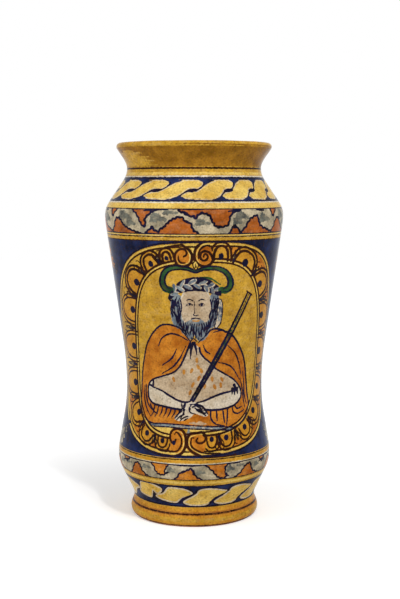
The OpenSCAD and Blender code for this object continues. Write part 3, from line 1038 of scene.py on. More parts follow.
# %% Shapes of the leaf bands
SHOULDER_WINDOWS = (
    ((-75, 230), (-74, 236), (-72.5, 240), (-69, 241.8), (-65.5, 240.5), (-62, 237), (-56, 233.8),
     (-49, 231.6), (-44, 230)),
    ((-50, 249), (-46.5, 245), (-44.8, 242), (-43.2, 239), (-41.2, 236.6), (-39.2, 236.2), (-38.6, 238.5),
     (-39.5, 241), (-37.8, 243.2), (-35.5, 245), (-33, 246.8), (-30, 249)),
    ((-36, 230), (-34.5, 233.5), (-33, 235.3), (-31.6, 233.8), (-30.2, 232.4), (-27, 232), (-25.3, 234.4),
     (-23.4, 234.8), (-21, 237.2), (-18, 240), (-15, 241.6), (-11.5, 242.8), (-8.6, 242), (-7, 240),
     (-4.8, 239.2), (-2.8, 238), (-2, 236), (-0.8, 233), (0.4, 230)),
    ((-9, 249), (-7, 245.8), (-3.6, 244.2), (-0.4, 243.6), (1, 242.4), (2.8, 244.6), (5, 246.1), (8, 245.8),
     (10.4, 245), (12.4, 243.4), (13.2, 241), (14.6, 238.6), (16.2, 236.6), (18.4, 235.5), (22, 236),
     (25, 236.6), (26.6, 239), (27, 242), (28.2, 244.6), (30.4, 246.6), (34, 249)),
    ((27.5, 230), (29.4, 234), (31, 236.2), (33, 235), (35, 232.6), (36.5, 230)),
    ((39, 230), (41.6, 235.6), (43.4, 238.6), (45.6, 241.2), (48, 242.4), (51, 243.6), (53, 242.6),
     (54, 240), (54.8, 237.6), (57, 235.6), (59.4, 234.2), (64, 233), (69, 230)),
    ((69, 249), (71, 245), (73, 243.6), (75, 245.2), (77, 249)))
SHOULDER_SHADES = (((-60, 243), (6, 4)), ((-53, 238), (4, 3)), ((-28, 241.5), (6, 3.4)),
                   ((-18, 246), (6, 1.6)), ((6, 238.5), (5, 2.6)), ((38, 243), (5, 3.6)),
                   ((34, 239), (3, 3)), ((61, 241), (5, 3.6)))
SHOULDER_MARKS = (((-38.8, 240.6), (-37.2, 243.4), (-34, 246)), ((-33.4, 235.4), (-31.6, 233.6)),
                  ((-25.6, 234.4), (-23.2, 235)), ((3, 245), (7, 246.2)), ((10.4, 245), (12.8, 242.6)),
                  ((-7, 240), (-3, 238.2)), ((17, 236), (21, 235.8)), ((30, 235), (33, 235.2)),
                  ((53.4, 242), (54.6, 238)))
SHOULDER_BLUES = (((-40, 247.6), (-30, 248.2), (-20, 248.6)), ((26, 247), (34, 248.4)),
                  ((52, 248), (60, 247.6)), ((-10, 247.4), (-5, 245.8)))
BASE_WINDOWS = (
    ((-56.5, 39), (-55.5, 44), (-54, 47.5), (-51.5, 49.8), (-48.5, 49.8), (-46.5, 47.6), (-45, 45),
     (-42, 42.4), (-36, 39)),
    ((-35, 54), (-33, 50), (-31.8, 47.5), (-30, 45.2), (-27.5, 44), (-24.5, 44), (-23.4, 46.5), (-23, 49),
     (-21, 54)),
    ((-14.5, 39), (-12.4, 43.5), (-10.8, 46.2), (-8, 47.4), (-5, 48.6), (-2.6, 49.6), (-1, 48),
     (-0.6, 45.6), (1.6, 43), (6, 39)),
    ((9, 54), (11.6, 50.4), (13.6, 48.8), (15, 47), (16.8, 44.6), (19, 42.4), (22, 41.4), (25, 42),
     (25.4, 44), (24.4, 46.5), (24.2, 49), (25.2, 51), (28, 54)),
    ((33, 39), (37, 42.5), (39.5, 44.5), (41.5, 47), (44, 48.8), (47, 50), (49.4, 49.6), (49.8, 47),
     (51, 44), (54, 42), (58, 39)),
    ((59, 54), (62.5, 50.6), (65, 49), (67, 50.6), (69, 54)))
BASE_SHADES = (((-62, 49), (4, 1.8)), ((-40, 48.4), (4, 1.5)), ((-18.4, 47.6), (3, 2.5)),
               ((5, 46.4), (4, 1.6)), ((29.6, 48), (2.8, 2.5)), ((38, 50), (3, 1.2)), ((57, 47.6), (3, 2)))
BASE_MARKS = (((-23.6, 45), (-20.6, 46)), ((-11.6, 45.6), (-8, 47.4), (-5, 48.8)), ((-1.4, 48), (0.4, 45.4)),
              ((24.6, 44), (28, 42.4)), ((48.6, 50), (50, 47)), ((24.2, 48.6), (25, 51)))
BASE_BLUES = (((-66, 52.6), (-44, 52.8)), ((-20, 52.6), (-2, 52.2), (8, 53)), ((28, 52.8), (38, 52.2)),
              ((-70, 49), (-60, 51)))
LEAVES = {
    "shoulder_leaf": {"windows": SHOULDER_WINDOWS, "shades": SHOULDER_SHADES, "marks": SHOULDER_MARKS,
                      "blues": SHOULDER_BLUES, "borders": ((248.5, 249.8), (229.4, 230.7)), "outline": 1.7,
                      "ground": "sienna"},
    "base_leaf": {"windows": BASE_WINDOWS, "shades": BASE_SHADES, "marks": BASE_MARKS,
                  "blues": BASE_BLUES, "borders": ((52.2, 53.6), (39.8, 40.7)), "outline": 1.4,
                  "ground": "orange"},
}
print(f"Windows: {len(SHOULDER_WINDOWS)} on the shoulder, {len(BASE_WINDOWS)} on the base")

# %% [markdown]
# One run of windows covers a third of the way round and is repeated. Soft blue-grey shading and small dark
# marks lie on the leaf.

# %% Leaf bands
LEAF_RUNS = 3
TOOTH_DEPTH, TOOTH_PITCH = 0.9, 3.6
SHADE = ((-1, -0.4), (-0.2, 0.3), (1, -0.2))
SHADE_W = np.array((0.8, 2.4, 1.4, 0.8))
MARK_W = (1.0, 1.9, 1.0)
BLUE_W = (1.0, 1.7, 1.1)
LEAF_LAP = 0.1

for name, band in LEAVES.items():
    brush = brushes[name]
    for i in range(LEAF_RUNS):
        brush.face(360 / LEAF_RUNS * i)
        for window in band["windows"]:
            brush.patch(band["ground"], scalloped(window, TOOTH_DEPTH, TOOTH_PITCH), sharp=True)
        for (x, z), (half_x, half_z) in band["shades"]:
            shade = [(x + half_x * side, z + half_z * rise) for side, rise in SHADE]
            brush.line("wash", shade, SHADE_W * half_z)
        for mark in band["marks"]:
            brush.line("ink", mark, MARK_W)
        for blue in band["blues"]:
            brush.line("ink", blue, BLUE_W)
    brush.lay("leaf", EVERYWHERE, LEAF_LAP - brush.coats[band["ground"]])
    brush.edging("ink", "leaf", band["outline"])
    for border in band["borders"]:
        brush.stripe("ink", *border)
print("Leaf bands are painted")

# %% [markdown]
# ## Panel, frame and field
#
# The middle of the wall is one large ring with an oval picture on its front. The panel, its scrolled frame
# and the blue field round them are three skins that meet edge to edge. The field goes right round the jar, so
# it is made in two halves. The oval's sizes are measured on the frame's own panel.

# %% Panel, frame and field
PANEL_SQUARE = 3.4
panel_x, panel_y, panel_z = np.array([c.co for c in frame["nodes"]["portrait_panel"].data.vertices]).T / MM
panel_angle = np.arctan2(panel_x, -panel_y)
panel_turn = (panel_angle.max() + panel_angle.min()) / 2
panel_low, panel_high = level("portrait_panel")
panel_middle, panel_half_h = (panel_low + panel_high) / 2, (panel_high - panel_low) / 2
round_wall = (panel_angle - panel_turn) * wall_r(panel_z)
panel_half_w = (round_wall.max() - round_wall.min()) / 2
frame_w = level("medallion_frame")[1] - panel_high
field_low, field_high = level("blue_field")

FRONT_PIGMENTS = ("mustard", "amber", "cobalt", "orange", "straw", "leaf", "white", "buff", "slate", "rust",
                  "green", "brown", "ink")
WHOLE = (math.radians(405), math.radians(45))
FIELD = {"node": "blue_field", "slot": "blue_glaze", "fine": (640, 124, 12), "scale": 1.0, "inner": frame_w,
         "outer": frame_w, "border": 1.0}
ZONES = {
    "portrait_panel": {"node": "portrait_panel", "slot": "panel_glaze", "fine": (640, 136, 10),
                       "angles": WHOLE, "scale": 0.0, "inner": 0.0, "outer": 0.0, "border": 0.0},
    "medallion_frame": {"node": "medallion_frame", "slot": "frame_glaze", "fine": (1200, 42, 4),
                        "angles": WHOLE, "scale": 1.0, "inner": 0.0, "outer": frame_w, "border": 0.0},
    "blue_field_right": FIELD | {"angles": (math.pi / 2, -math.pi / 2)},
    "blue_field_left": FIELD | {"angles": (math.pi * 1.5, math.pi / 2)},
}
for name, zone in ZONES.items():
    slot = zone["slot"]
    if slot not in finishes:
        finishes[slot] = painted_glaze(slot, FRONT_PIGMENTS)
    sizes = {"Half Width": panel_half_w * MM, "Half Height": panel_half_h * MM, "Squareness": PANEL_SQUARE,
             "Middle": panel_middle * MM, "Turn": panel_turn, "From Angle": zone["angles"][0],
             "To Angle": zone["angles"][1], "Inner Scale": zone["scale"], "Inner Margin": zone["inner"] * MM,
             "Outer Margin": zone["outer"] * MM, "To Border": zone["border"],
             "Border Low": field_low * MM, "Border High": field_high * MM}
    pieces[name] = make_skin(name, oval_tree, finishes[slot], zone["fine"], sizes)
    if name == "medallion_frame":
        fold_map(pieces[name], zone["fine"], MAP_STRIPS)
    else:
        flat_map(pieces[name], zone["fine"])
    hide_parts(zone["node"])
    brushes[name] = Brush(pieces[name], FRONT_PIGMENTS)
print(f"Panel: {2 * panel_half_w:.0f} x {2 * panel_half_h:.0f} mm, frame {frame_w:.1f} mm wide")

# %% [markdown]
# A stroke of the front may run on over the joints between the skins, so it is laid on all of them.

# %% Strokes over the joints
front = [brushes[name] for name in ZONES]


def paint(stroke, *values, **options):
    """One stroke on every skin of the front, so that it runs on over their joints."""
    for brush in front:
        getattr(brush, stroke)(*values, **options)


def paint_lines(pigment, curves, width):
    """Several lines of one pigment, all of the same width."""
    for curve in curves:
        paint("line", pigment, curve, width)


print(f"Front: {len(front)} skins are painted together")

# %% [markdown]
# ## Ground of the medallion
#
# The painted ovals sit a little off the skins' edges, as hand work does, and the inner one sags at its lower
# left. Inside the inner oval the ground is mustard. The frame between the ovals has a pale rim, and the wall
# outside is cobalt.

# %% Ground of the medallion
INNER_OVAL = {"middle": (4.4, 143.0), "half": (56.4, 68.4), "square": ((3.3, 3.0), (3.3, 3.0)), "tilt": 0.04,
              "sag": 0.1}
OUTER_OVAL = {"middle": (0.2, 141.8), "half": (77.8, 82.4), "square": ((3.1, 3.6), (3.1, 3.8)), "tilt": 0.02,
              "sag": 0.0}
RIM_W = 2.6
RIM_INSET = RIM_W / 2 + 0.6
RIM_HALF, LOW_RIM_HALF, LOW_RIM_Z = 0.4, 0.9, 110
COBALT_LAP = 0.2
OVAL_LINES = (("straw", INNER_OVAL, 1.5, 0.4), ("brown", INNER_OVAL, 0.0, 0.9),
              ("brown", INNER_OVAL, 2.8, 0.7), ("brown", OUTER_OVAL, RIM_W + 0.8, 0.7),
              ("ink", OUTER_OVAL, 0.0, 0.8))


def from_oval(oval, across, height):
    """How far a place is outside an oval, whose quarters differ in roundness and whose lower left may sag."""
    across = across - oval["middle"][0]
    height = height - oval["middle"][1] - oval["tilt"] * across
    height = height - np.where((across < 0) & (height < 0), oval["sag"] * across, 0)
    low, high = (np.where(across < 0, *squares) for squares in oval["square"])
    return oval_distance(across, height, *oval["half"], np.where(height < 0, low, high))


for brush in front:
    outside = from_oval(OUTER_OVAL, brush.across, brush.height)
    rim_half = np.where(brush.height < LOW_RIM_Z, LOW_RIM_HALF, RIM_HALF)
    brush.lay("mustard", EVERYWHERE, outside)
    brush.lay("cobalt", EVERYWHERE, COBALT_LAP - outside)
    brush.lay("straw", EVERYWHERE, np.abs(outside + RIM_INSET) - rim_half)
    for pigment, edge, inset, half in OVAL_LINES:
        brush.lay(pigment, EVERYWHERE, np.abs(from_oval(edge, brush.across, brush.height) + inset) - half)
print(f"Ground of the medallion: {len(OVAL_LINES) + 1} lines along the ovals")

# %% [markdown]
# ## Frame
#
# The frame is a chain of tongues that point outwards from the inner oval, each with two outlines and a dark
# spot, and with small darts between them. Each tongue is given by its foot, half its width and its length,
# and one shape serves for all. On the right and below, the ground behind the tongues is orange. Two pairs of
# scrolls close the frame at the top and the bottom.

# %% Tongues and darts of the frame
TONGUES = (
    (20.4, 210.8, 5.5, 10.6), (40, 205.4, 9.6, 11.5), (55.8, 189.3, 9, 13), (60.8, 165, 9.5, 14.5),
    (60.6, 136, 11, 14.5), (59.6, 108, 8.5, 13), (52.5, 91, 7.5, 11.5), (42, 80.5, 5.5, 9.5),
    (25, 75, 5.2, 9.4), (13.4, 74.4, 4, 9), (-25, 72.4, 4, 7.4), (-38.4, 76.4, 5.5, 8.8),
    (-47, 90, 7.5, 12.5), (-51.3, 112, 9, 17.5), (-51.5, 141, 9.5, 18), (-51, 170, 9.2, 17.5),
    (-45.5, 191, 9, 15), (-33, 205, 6, 10), (-20.6, 209.8, 3.2, 7.2))
SCROLL_GAPS = (9, 18)
TONGUE = ((-1.0, -0.05), (-1.0, 0.3), (-0.86, 0.68), (-0.5, 0.93), (0.0, 1.0), (0.5, 0.93), (0.86, 0.68),
          (1.0, 0.3), (1.0, -0.05))
DART = ((-0.2, 0.0), (-0.5, 0.45), (0.0, 1.0), (0.5, 0.45), (0.2, 0.0))
OUTLINE_GAP = 2.7
TONGUE_W = np.array((1.4, 1.6, 1.4, 1.6, 1.3))
OUTLINE_W = np.array((1.2, 1.4, 1.3, 1.4, 1.2))
HEAVY, HEAVY_ABOVE = 1.4, 180
DART_HALF, DART_SHARE = 2.2, 0.8
CURL_HALF, CURL_W = 3.4, (1.0, 0.9, 0.7)
SPANDREL_FROM, SPANDREL_BELOW = 8, 100
SPANDREL_INNER, SPANDREL_OUTER, SPANDREL_LAP = 1.2, 1.4, 0.6


def outward(place):
    """The direction away from the inner oval at a place on the front."""
    x, y = np.array(place)[:, None] + np.array([[0.1, -0.1, 0, 0], [0, 0, 0.1, -0.1]])
    around = from_oval(INNER_OVAL, x, y)
    out = np.array([around[0] - around[1], around[2] - around[3]])
    return out / np.linalg.norm(out)


def set_out(shape, place, out, half_w, length):
    """A shape's points, stood on a place of the oval and pointing outwards."""
    side = np.array([out[1], -out[0]])
    return [np.array(place) + side * (half_w * x) + out * (length * y) for x, y in shape]


for i, (x, z, half_w, length) in enumerate(TONGUES):
    foot = np.array([x, z])
    out = outward(foot)
    lean = math.degrees(math.atan2(out[1], out[0]))
    heavy = HEAVY if z > HEAVY_ABOVE else 1.0
    tongue = set_out(TONGUE, foot, out, half_w, length)
    outer_tongue = set_out(TONGUE, foot, out, half_w + OUTLINE_GAP, length + OUTLINE_GAP)
    paint("patch", "amber", outer_tongue)
    paint("line", "brown", tongue, TONGUE_W * heavy)
    paint("line", "brown", outer_tongue, OUTLINE_W * heavy)
    paint("dot", "ink", foot + out * (1.4 + 0.13 * length), (1.3 + 0.2 * half_w, 1.0 + 0.19 * half_w), lean)
    if i not in SCROLL_GAPS:
        after = TONGUES[(i + 1) % len(TONGUES)]
        middle = np.array([(x + after[0]) / 2, (z + after[1]) / 2])
        away = outward(middle)
        tip = 0.5 * (length + after[3]) + 1.5
        dart = set_out(DART, middle, away, DART_HALF, tip * DART_SHARE)
        paint("patch", "straw", dart)
        paint("line", "brown", dart, 1.0)
        paint("line", "ink", set_out(((0, 0.1), (0, 0.55)), middle, away, 1, tip), (1.6, 0.7))
        for side in (-1, 1):
            curl = ((0.2 * side, 0.1), (1.0 * side, 0.6), (0.9 * side, 0.95), (0.45 * side, 1.0))
            paint("line", "brown", set_out(curl, middle, away, CURL_HALF, tip), CURL_W)
for brush in front:
    spandrel = [SPANDREL_INNER - from_oval(INNER_OVAL, brush.across, brush.height),
                from_oval(OUTER_OVAL, brush.across, brush.height) + RIM_W + SPANDREL_OUTER,
                SPANDREL_LAP - brush.coats["amber"],
                np.minimum(SPANDREL_FROM - brush.across, brush.height - SPANDREL_BELOW)]
    brush.lay("orange", EVERYWHERE, np.maximum.reduce(spandrel))
print(f"Frame: {len(TONGUES)} tongues")

# %% [markdown]
# Each scroll grows out of the frame's outer line and curls in on itself, over a warmer fill, with a pale line
# inside its dark one. The four curves differ, so each has its own points.

# %% Scrolls of the frame
SCROLLS = (
    ((-22, 220.4), (-13, 221.8), (-9.5, 222.2), (-7, 220.8), (-4.5, 219), (-2.6, 216.8), (-1.6, 214.5),
     (-1.6, 211.5), (-2.5, 208.8), (-4.8, 206.8), (-8, 206), (-11, 206.3), (-13, 207.6), (-14.4, 210.6),
     (-14.6, 214), (-13.4, 216.8), (-11.6, 218.4), (-9, 219.2), (-6.8, 218.4), (-5.6, 216.2), (-6.2, 214.4),
     (-7.8, 213.6)),
    ((26, 225), (18, 225), (12, 225), (8, 224.6), (4.5, 223), (1.8, 220.4), (0.5, 217), (0.2, 213),
     (1.2, 209.8), (3.5, 207.4), (6.4, 206.2), (9.6, 206.2), (12.4, 207.8), (13.9, 210.4), (13.4, 213.6),
     (11, 216.6), (8, 217.6), (5.4, 216.4), (4.6, 214), (4.9, 212), (6.6, 210.5), (9, 210.8), (10.4, 213),
     (9.4, 215), (7.6, 215), (7, 213.4)),
    ((-40, 62), (-30, 59.8), (-20, 58.9), (-14, 59.4), (-10, 61.5), (-7.6, 64.5), (-6.6, 68), (-6.4, 72),
     (-7.2, 76), (-9.5, 79), (-13, 80), (-16.4, 79), (-18.5, 76), (-18.8, 72.6), (-17.6, 69.4), (-15.6, 69),
     (-14.4, 71.6)),
    ((34, 58.8), (25, 58), (15, 58), (8, 58.8), (2, 60.8), (-3, 64), (-5.2, 67), (-5.6, 71), (-4.6, 74.6),
     (-2, 76.6), (2, 76.9), (5.5, 77.4), (8, 75.6), (8.8, 72.5), (7.6, 70.3), (5, 69.2), (2.6, 69.6),
     (1.6, 71.4), (2.6, 73)))
SCROLL_PALES = (
    ((-8.6, 220.4), (-5, 217.8), (-3.2, 214.6), (-3.2, 211.4), (-4.6, 208.6), (-8, 207.4), (-11.2, 208),
     (-12.9, 211), (-12.8, 214.4)),
    ((12, 223.6), (8, 223), (4.6, 220.8), (2.3, 217.2), (1.9, 213), (3, 209.8), (5.4, 207.8)),
    ((-13, 78.4), (-9.8, 77), (-8.2, 72.4), (-8.3, 67.4), (-10.6, 63.2), (-15, 60.8), (-24, 60.6)),
    ((6, 75.9), (0, 75.2), (-3.4, 73.2), (-4, 69), (-2.2, 65.4), (2.4, 62.4), (8, 60.3), (18, 59.6)))
SCROLL_INNERS = (
    ((-12, 214), (-11.8, 211), (-10, 208.8), (-7, 208.6)),
    ((12, 222), (8.4, 221.6), (5.2, 219.4), (3.4, 216), (3.3, 212)),
    ((-15.4, 75.6), (-14, 77.2), (-11.8, 75.8), (-10, 72.4), (-10, 68), (-12, 64.2), (-16, 62.4),
     (-26, 62.4)),
    ((-0.4, 73.2), (-2, 73), (-2.7, 69), (-1.2, 66), (3, 63.4), (9, 61.6), (20, 61)))
SCROLL_FILLS = (((-8.1, 213.4), (6.4, 7.2)), ((7.4, 214), (6.6, 8)), ((-12.6, 70.4), (6.2, 9.4)),
                ((1.8, 68.4), (7, 8.6)))
SCROLL_JOINS = (((-8, 224), (-3.4, 221.4), (-0.6, 215.4), (1.2, 221.4), (5, 224)),
                ((-10, 60), (-8, 62.6), (-6.2, 65.6), (-4, 62.6), (-1, 60)))
SCROLL_EYE = ((-16.0, 69.2), (1.4, 1.9))

for fill, half in SCROLL_FILLS:
    paint("wipe", ("brown", "straw", "ink"), fill, half)
    paint("dot", "orange", fill, half)
for join in SCROLL_JOINS:
    paint("patch", "straw", join)
paint_lines("straw", SCROLL_PALES, (0.4, 0.7, 0.7, 0.6, 0.4))
paint_lines("brown", SCROLL_INNERS, (0.9, 1.5, 1.6, 1.2))
paint_lines("brown", SCROLLS, (1.4, 2.1, 2.2, 2.1, 1.8, 1.6))
paint("dot", "ink", *SCROLL_EYE)
print(f"Frame: {len(SCROLLS)} scrolls")

# %% [markdown]
# ## Figure
#
# The panel holds a half figure in a cloak, seen from the front, with crossed hands and a staff. The broad
# colours come first: the green ring behind the head with its small pendant, the orange cloak, the pale
# body and the ledge below.

# %% Broad colours of the figure
CLOAK_LEFT = ((-3, 148), (-10, 157.5), (-15, 160), (-22, 161), (-28, 159), (-34, 153), (-39, 145), (-42, 136),
              (-44.5, 125), (-46, 112), (-46.8, 100), (-46, 91), (-41, 84.5), (-34, 82.5))
CLOAK_RIGHT = ((3, 147), (8, 152), (13, 157), (19, 157.5), (24, 155.5), (30, 152.5), (36, 145), (41, 136),
               (44, 126), (45.5, 115), (47, 104), (48.5, 96), (46, 89), (40, 82.5), (33, 80))
BODY_LEFT = ((-3, 147), (-6, 139), (-9, 132), (-12, 127), (-17, 123), (-25, 120), (-31, 118), (-35, 116),
             (-38.3, 112), (-38.8, 104), (-37, 100), (-33, 97.5), (-24, 96.3), (-17, 95.3), (-10, 94.5))
BODY_RIGHT = ((4, 143), (5, 139), (8, 135), (12, 131.5), (16, 127), (22, 123), (28, 119.5), (32, 117),
              (36, 113), (39, 109), (40, 104), (38, 100), (33, 96.5), (24, 94.4), (15, 94), (8, 94.5))
CHEST = ((-3, 146), (-10, 130), (-20, 121), (-33, 116), (-33, 110.5), (-27, 108.7), (-13, 102), (-5, 100.5),
         (6, 100.5), (16, 104.5), (30, 107.6), (36, 110), (30, 117.5), (16, 126), (6, 137), (3, 143))
RING_BEHIND = ((-18, 187.6), (-22, 188.8), (-24.6, 193.4), (-23.6, 199.6), (-19.4, 203.8), (-12, 205),
               (-5, 204.2), (1, 202.4), (8, 204.4), (17, 204.4), (24, 201.6), (28, 196), (28.2, 190.6),
               (25, 187.6), (21, 187.6))
RING_GLINT = ((4, 197.8), (12, 196.8), (20, 192))
RING_MIDDLE = (1.2, 195)
RING_SPREAD = (0.075, 0.14)
PENDANT_PLACE = (1.1, 206.4)
PENDANT_RIM = ((-1.0, 207.2), (0.9, 210), (3.2, 207), (1.4, 203))
LEDGE_LEFT = ((-37, 81.5), (-20, 82), (-16.8, 81), (-18.6, 78.4), (-20.4, 73), (-25, 73), (-33, 76))
LEDGE_RIGHT = ((-5, 81), (0, 81), (20, 79.6), (33, 78), (25, 75.2), (10, 75), (7, 77.8), (2, 78.2),
               (-4, 77.8))
UNDER_HANDS = ((-4, 84), (-1, 85.4), (2, 84.8), (4, 86), (7, 84.8), (10, 83.6), (5, 83))

paint("patch", "orange", CLOAK_LEFT + ((0, 81.5),) + tuple(reversed(CLOAK_RIGHT)))
paint("patch", "white", BODY_LEFT + tuple(reversed(BODY_RIGHT)))
paint("patch", "buff", CHEST)
paint("patch", "straw", LEDGE_LEFT)
paint("patch", "straw", LEDGE_RIGHT)
paint("line", "green", RING_BEHIND, (5.4, 6.0, 3.6, 2.8, 3.6, 6.0, 5.4))
paint("line", "green", RING_GLINT, (0.8, 1.8, 0.8))
for edge in (1, -1):
    rim = [(RING_MIDDLE[0] + (x - RING_MIDDLE[0]) * (1 + RING_SPREAD[0] * edge),
            z + (z - RING_MIDDLE[1]) * RING_SPREAD[1] * edge) for x, z in RING_BEHIND]
    paint("line", "ink", rim, (0.5, 1.6, 1.2, 1.6, 1.0, 1.6, 0.5))
paint("wipe", ("green", "ink", "brown"), PENDANT_PLACE, (2.2, 3.4))
paint("dot", "straw", PENDANT_PLACE, (2.0, 3.0))
paint("line", "brown", ((1.0, 208), (1.2, 205.6)), (0.6, 1.3))
paint("line", "brown", PENDANT_RIM, 0.9, closed=True)
paint("patch", "buff", UNDER_HANDS)
print("Broad colours are painted")

# %% [markdown]
# The cloak's edges and folds are single strokes that swell and thin out. The body has a few soft brown drops,
# and the ledge is a pale stroke between two dark ones.

# %% Cloak and body lines
CLOAK_FOLDS = (
    ((-28.5, 144), (-25.5, 150), (-19, 153.8), (-12, 152.8), (-5, 149)),
    ((-13.5, 142), (-17.5, 134.5), (-25.5, 128.5)), ((-6, 145), (-11.5, 134), (-17, 127.5), (-25.5, 122)),
    ((7, 145), (9, 140.5), (12.5, 138)), ((27, 144), (33, 138), (37, 130), (39.5, 120)),
    ((19, 131), (25, 129.5), (31.5, 125.5), (38, 116)), ((41.5, 122), (43, 112), (43.5, 104), (46, 96)),
    ((38.5, 117), (41.2, 109), (42.5, 100), (44, 93)), ((-42.5, 111), (-43, 101), (-40.5, 93), (-37, 88)),
    ((-40.8, 112), (-41, 103), (-38.6, 96), (-34, 92)), ((15, 155), (22, 156.4), (25, 154)))
SKIRT_FOLDS, SKIRT_START, SKIRT_STEP = 8, -35, 3.6
SKIRT_ROLLS = (
    ((12.8, 93.6), (13, 88), (16.5, 83.4), (24, 81.4)), ((17.5, 93), (18, 85.5)), ((23, 92.6), (24.2, 83.6)),
    ((26.8, 94), (26.6, 88), (26, 81.2)), ((31, 95.4), (32.2, 91.2), (36.6, 89.6), (43, 91.6)),
    ((33.5, 96), (36, 93.4), (41, 94.6)), ((-37, 97), (-33.5, 92), (-30, 90)))
DROPS = ((2, 133.5), (3, 128), (-2, 125), (-8, 124), (5.5, 125), (13, 124), (14, 118.5), (22, 117.5),
         (-1, 114), (8, 113), (16, 112), (-3, 108), (21, 113), (-16, 118), (3.5, 119))
BODY_LINES = (
    ((-34, 110.5), (-27, 108.7), (-20, 105.2), (-13, 101.7), (-7, 100.3), (-3, 101)),
    ((37, 110), (30, 107.6), (22, 106.4), (14, 104), (8, 101.5), (2, 100)),
    ((-33.6, 116.2), (-34, 113), (-34, 110.5)), ((-38.3, 112), (-36, 111.6), (-34, 110.5)))
LEDGE_TOP = ((-37, 82.2), (-20, 83.2), (0, 82.4), (20, 81), (33, 79.4))
LEDGE_PALE = ((-36, 81.2), (-20, 82), (0, 81.2), (20, 79.8), (32, 78.4))
LEDGE_FOOT = ((-33, 80.2), (-20, 80.8), (0, 80), (20, 78.6), (30, 77.4))
LEDGE_DRIP = ((-4.2, 79.6), (-4.6, 76.6), (-5.4, 74))

paint("line", "ink", CLOAK_LEFT, (1.0, 1.6, 1.6, 1.5, 1.2, 1.0))
paint("line", "ink", CLOAK_RIGHT, (1.0, 1.6, 1.7, 1.9, 1.4, 1.0))
paint("line", "ink", BODY_LEFT, (1.7, 1.5, 1.5, 1.7, 1.9))
paint("line", "ink", BODY_RIGHT, (1.7, 1.5, 1.5, 1.7, 2.0))
paint_lines("ink", CLOAK_FOLDS, (0.7, 1.6, 0.8))
for i in range(SKIRT_FOLDS):
    x = SKIRT_START + SKIRT_STEP * i
    paint("line", "ink", ((x + 2.4, 96.2 - 0.2 * i), (x + 1.4, 91.6), (x - 1.2, 87.4)), (1.2, 1.3, 0.5))
paint_lines("ink", SKIRT_ROLLS, (1.2, 1.5, 0.8))
for i, drop in enumerate(DROPS):
    paint("dot", "rust", drop, (1.2, 2.2), 25 * math.sin(2.1 * i))
paint_lines("ink", BODY_LINES, (1.1, 1.8, 1.8, 1.3))
paint_lines("ink", (LEDGE_TOP, LEDGE_FOOT), 1.1)
paint("line", "white", LEDGE_PALE, 1.6)
paint("line", "slate", LEDGE_PALE, (1.8, 1.5, 1.0, 1.5, 1.8))
paint("line", "slate", LEDGE_DRIP, (1.4, 2.4, 1.0))
print(f"Cloak: {len(CLOAK_FOLDS)} folds, body: {len(DROPS)} drops")

# %% [markdown]
# The staff is a straight rod with a flared end, drawn as two dark lines with a dark green core. It passes
# over the cloak and ends in the crossed hands, which are pale patches with a few strokes for the fingers.

# %% Staff, knot and hands
STAFF_TOP, STAFF_FOOT = np.array((46.2, 183.6)), np.array((-1.6, 101.6))
STAFF_HALF = (2.0, 0.9)
STAFF_CAP, STAFF_CAP_RISE = 3.3, 0.6
HAND_LEFT = ((-10, 100), (-6, 99.4), (-2, 98), (1, 94), (-1, 90.5), (-4, 88), (-8, 86.2), (-13, 86),
             (-15.5, 87.6), (-14.5, 90), (-10.5, 92.5), (-9.6, 96))
HAND_RIGHT = ((-3, 98.6), (2, 98.4), (6, 96.6), (9.6, 93), (10.6, 90), (8, 89.4), (4, 90.6), (0.5, 92),
              (-2, 94.5))
FINGERS = (
    ((-15.6, 87.6), (-12.5, 91), (-9.8, 93)), ((-14, 86.4), (-11, 89.4), (-7.6, 91)),
    ((-11, 86), (-8.2, 88.4), (-5, 89.6)), ((-8, 86.2), (-5, 88)), ((-10, 99.6), (-9.4, 96), (-10, 93.4)),
    ((-2.4, 98.4), (-4, 95), (-2.6, 92.4), (1, 91.2)), ((0, 97.6), (4, 96.4), (7, 93.8)),
    ((1.4, 95.4), (5, 94.2), (8.6, 91.4)), ((2.6, 93.4), (6, 92), (9, 90)),
    ((-3.6, 98.8), (2, 98.8), (6.4, 96.8), (10, 92)))
HAND_MARKS = (((-6.8, 100.2), (-7.6, 97.4), (-8.4, 94)), ((0.6, 96), (3.4, 93.6), (8.6, 91.8)),
              ((-1.4, 96.6), (2.6, 98.2), (6.6, 96.6), (10.4, 91.4)), ((-3.6, 95.8), (-3.2, 95)))
KNOT_PLACE = (-0.4, 147.4)
KNOT_TOP = ((-2.6, 148.6), (-0.4, 150.2), (2, 148.4))
KNOT_TAILS = (((-1, 147), (-2.4, 141), (-3, 134.5)), ((0, 147), (1.4, 142), (2, 137.6)),
              ((-1, 147), (-4, 142.5)))
CUFF = (((33, 112), (35, 109)), ((31.4, 109), (31, 105)), ((33.4, 109), (33.4, 104.6)),
        ((35.4, 109), (36.4, 105)))

along = (STAFF_FOOT - STAFF_TOP) / np.linalg.norm(STAFF_FOOT - STAFF_TOP)
aside = np.array([-along[1], along[0]])
for side in (-1, 1):
    top, foot = STAFF_TOP + aside * side * STAFF_HALF[0], STAFF_FOOT + aside * side * STAFF_HALF[1]
    paint("line", "ink", (top, foot), (1.7, 2.0, 2.2, 1.9))
paint("line", "green", (STAFF_TOP, STAFF_FOOT), (0.8, 0.9, 1.0, 0.6))
cap = STAFF_TOP - along * STAFF_CAP_RISE
paint("line", "brown", (cap - aside * STAFF_CAP, cap + aside * STAFF_CAP), 1.3)
paint_lines("ink", KNOT_TAILS, (2.2, 1.8, 0.8))
paint("dot", "rust", KNOT_PLACE, (2.0, 2.4))
paint("line", "ink", KNOT_TOP, 1.0)
paint("patch", "white", HAND_LEFT)
paint("patch", "white", HAND_RIGHT)
paint_lines("ink", FINGERS, (0.8, 1.3, 0.9))
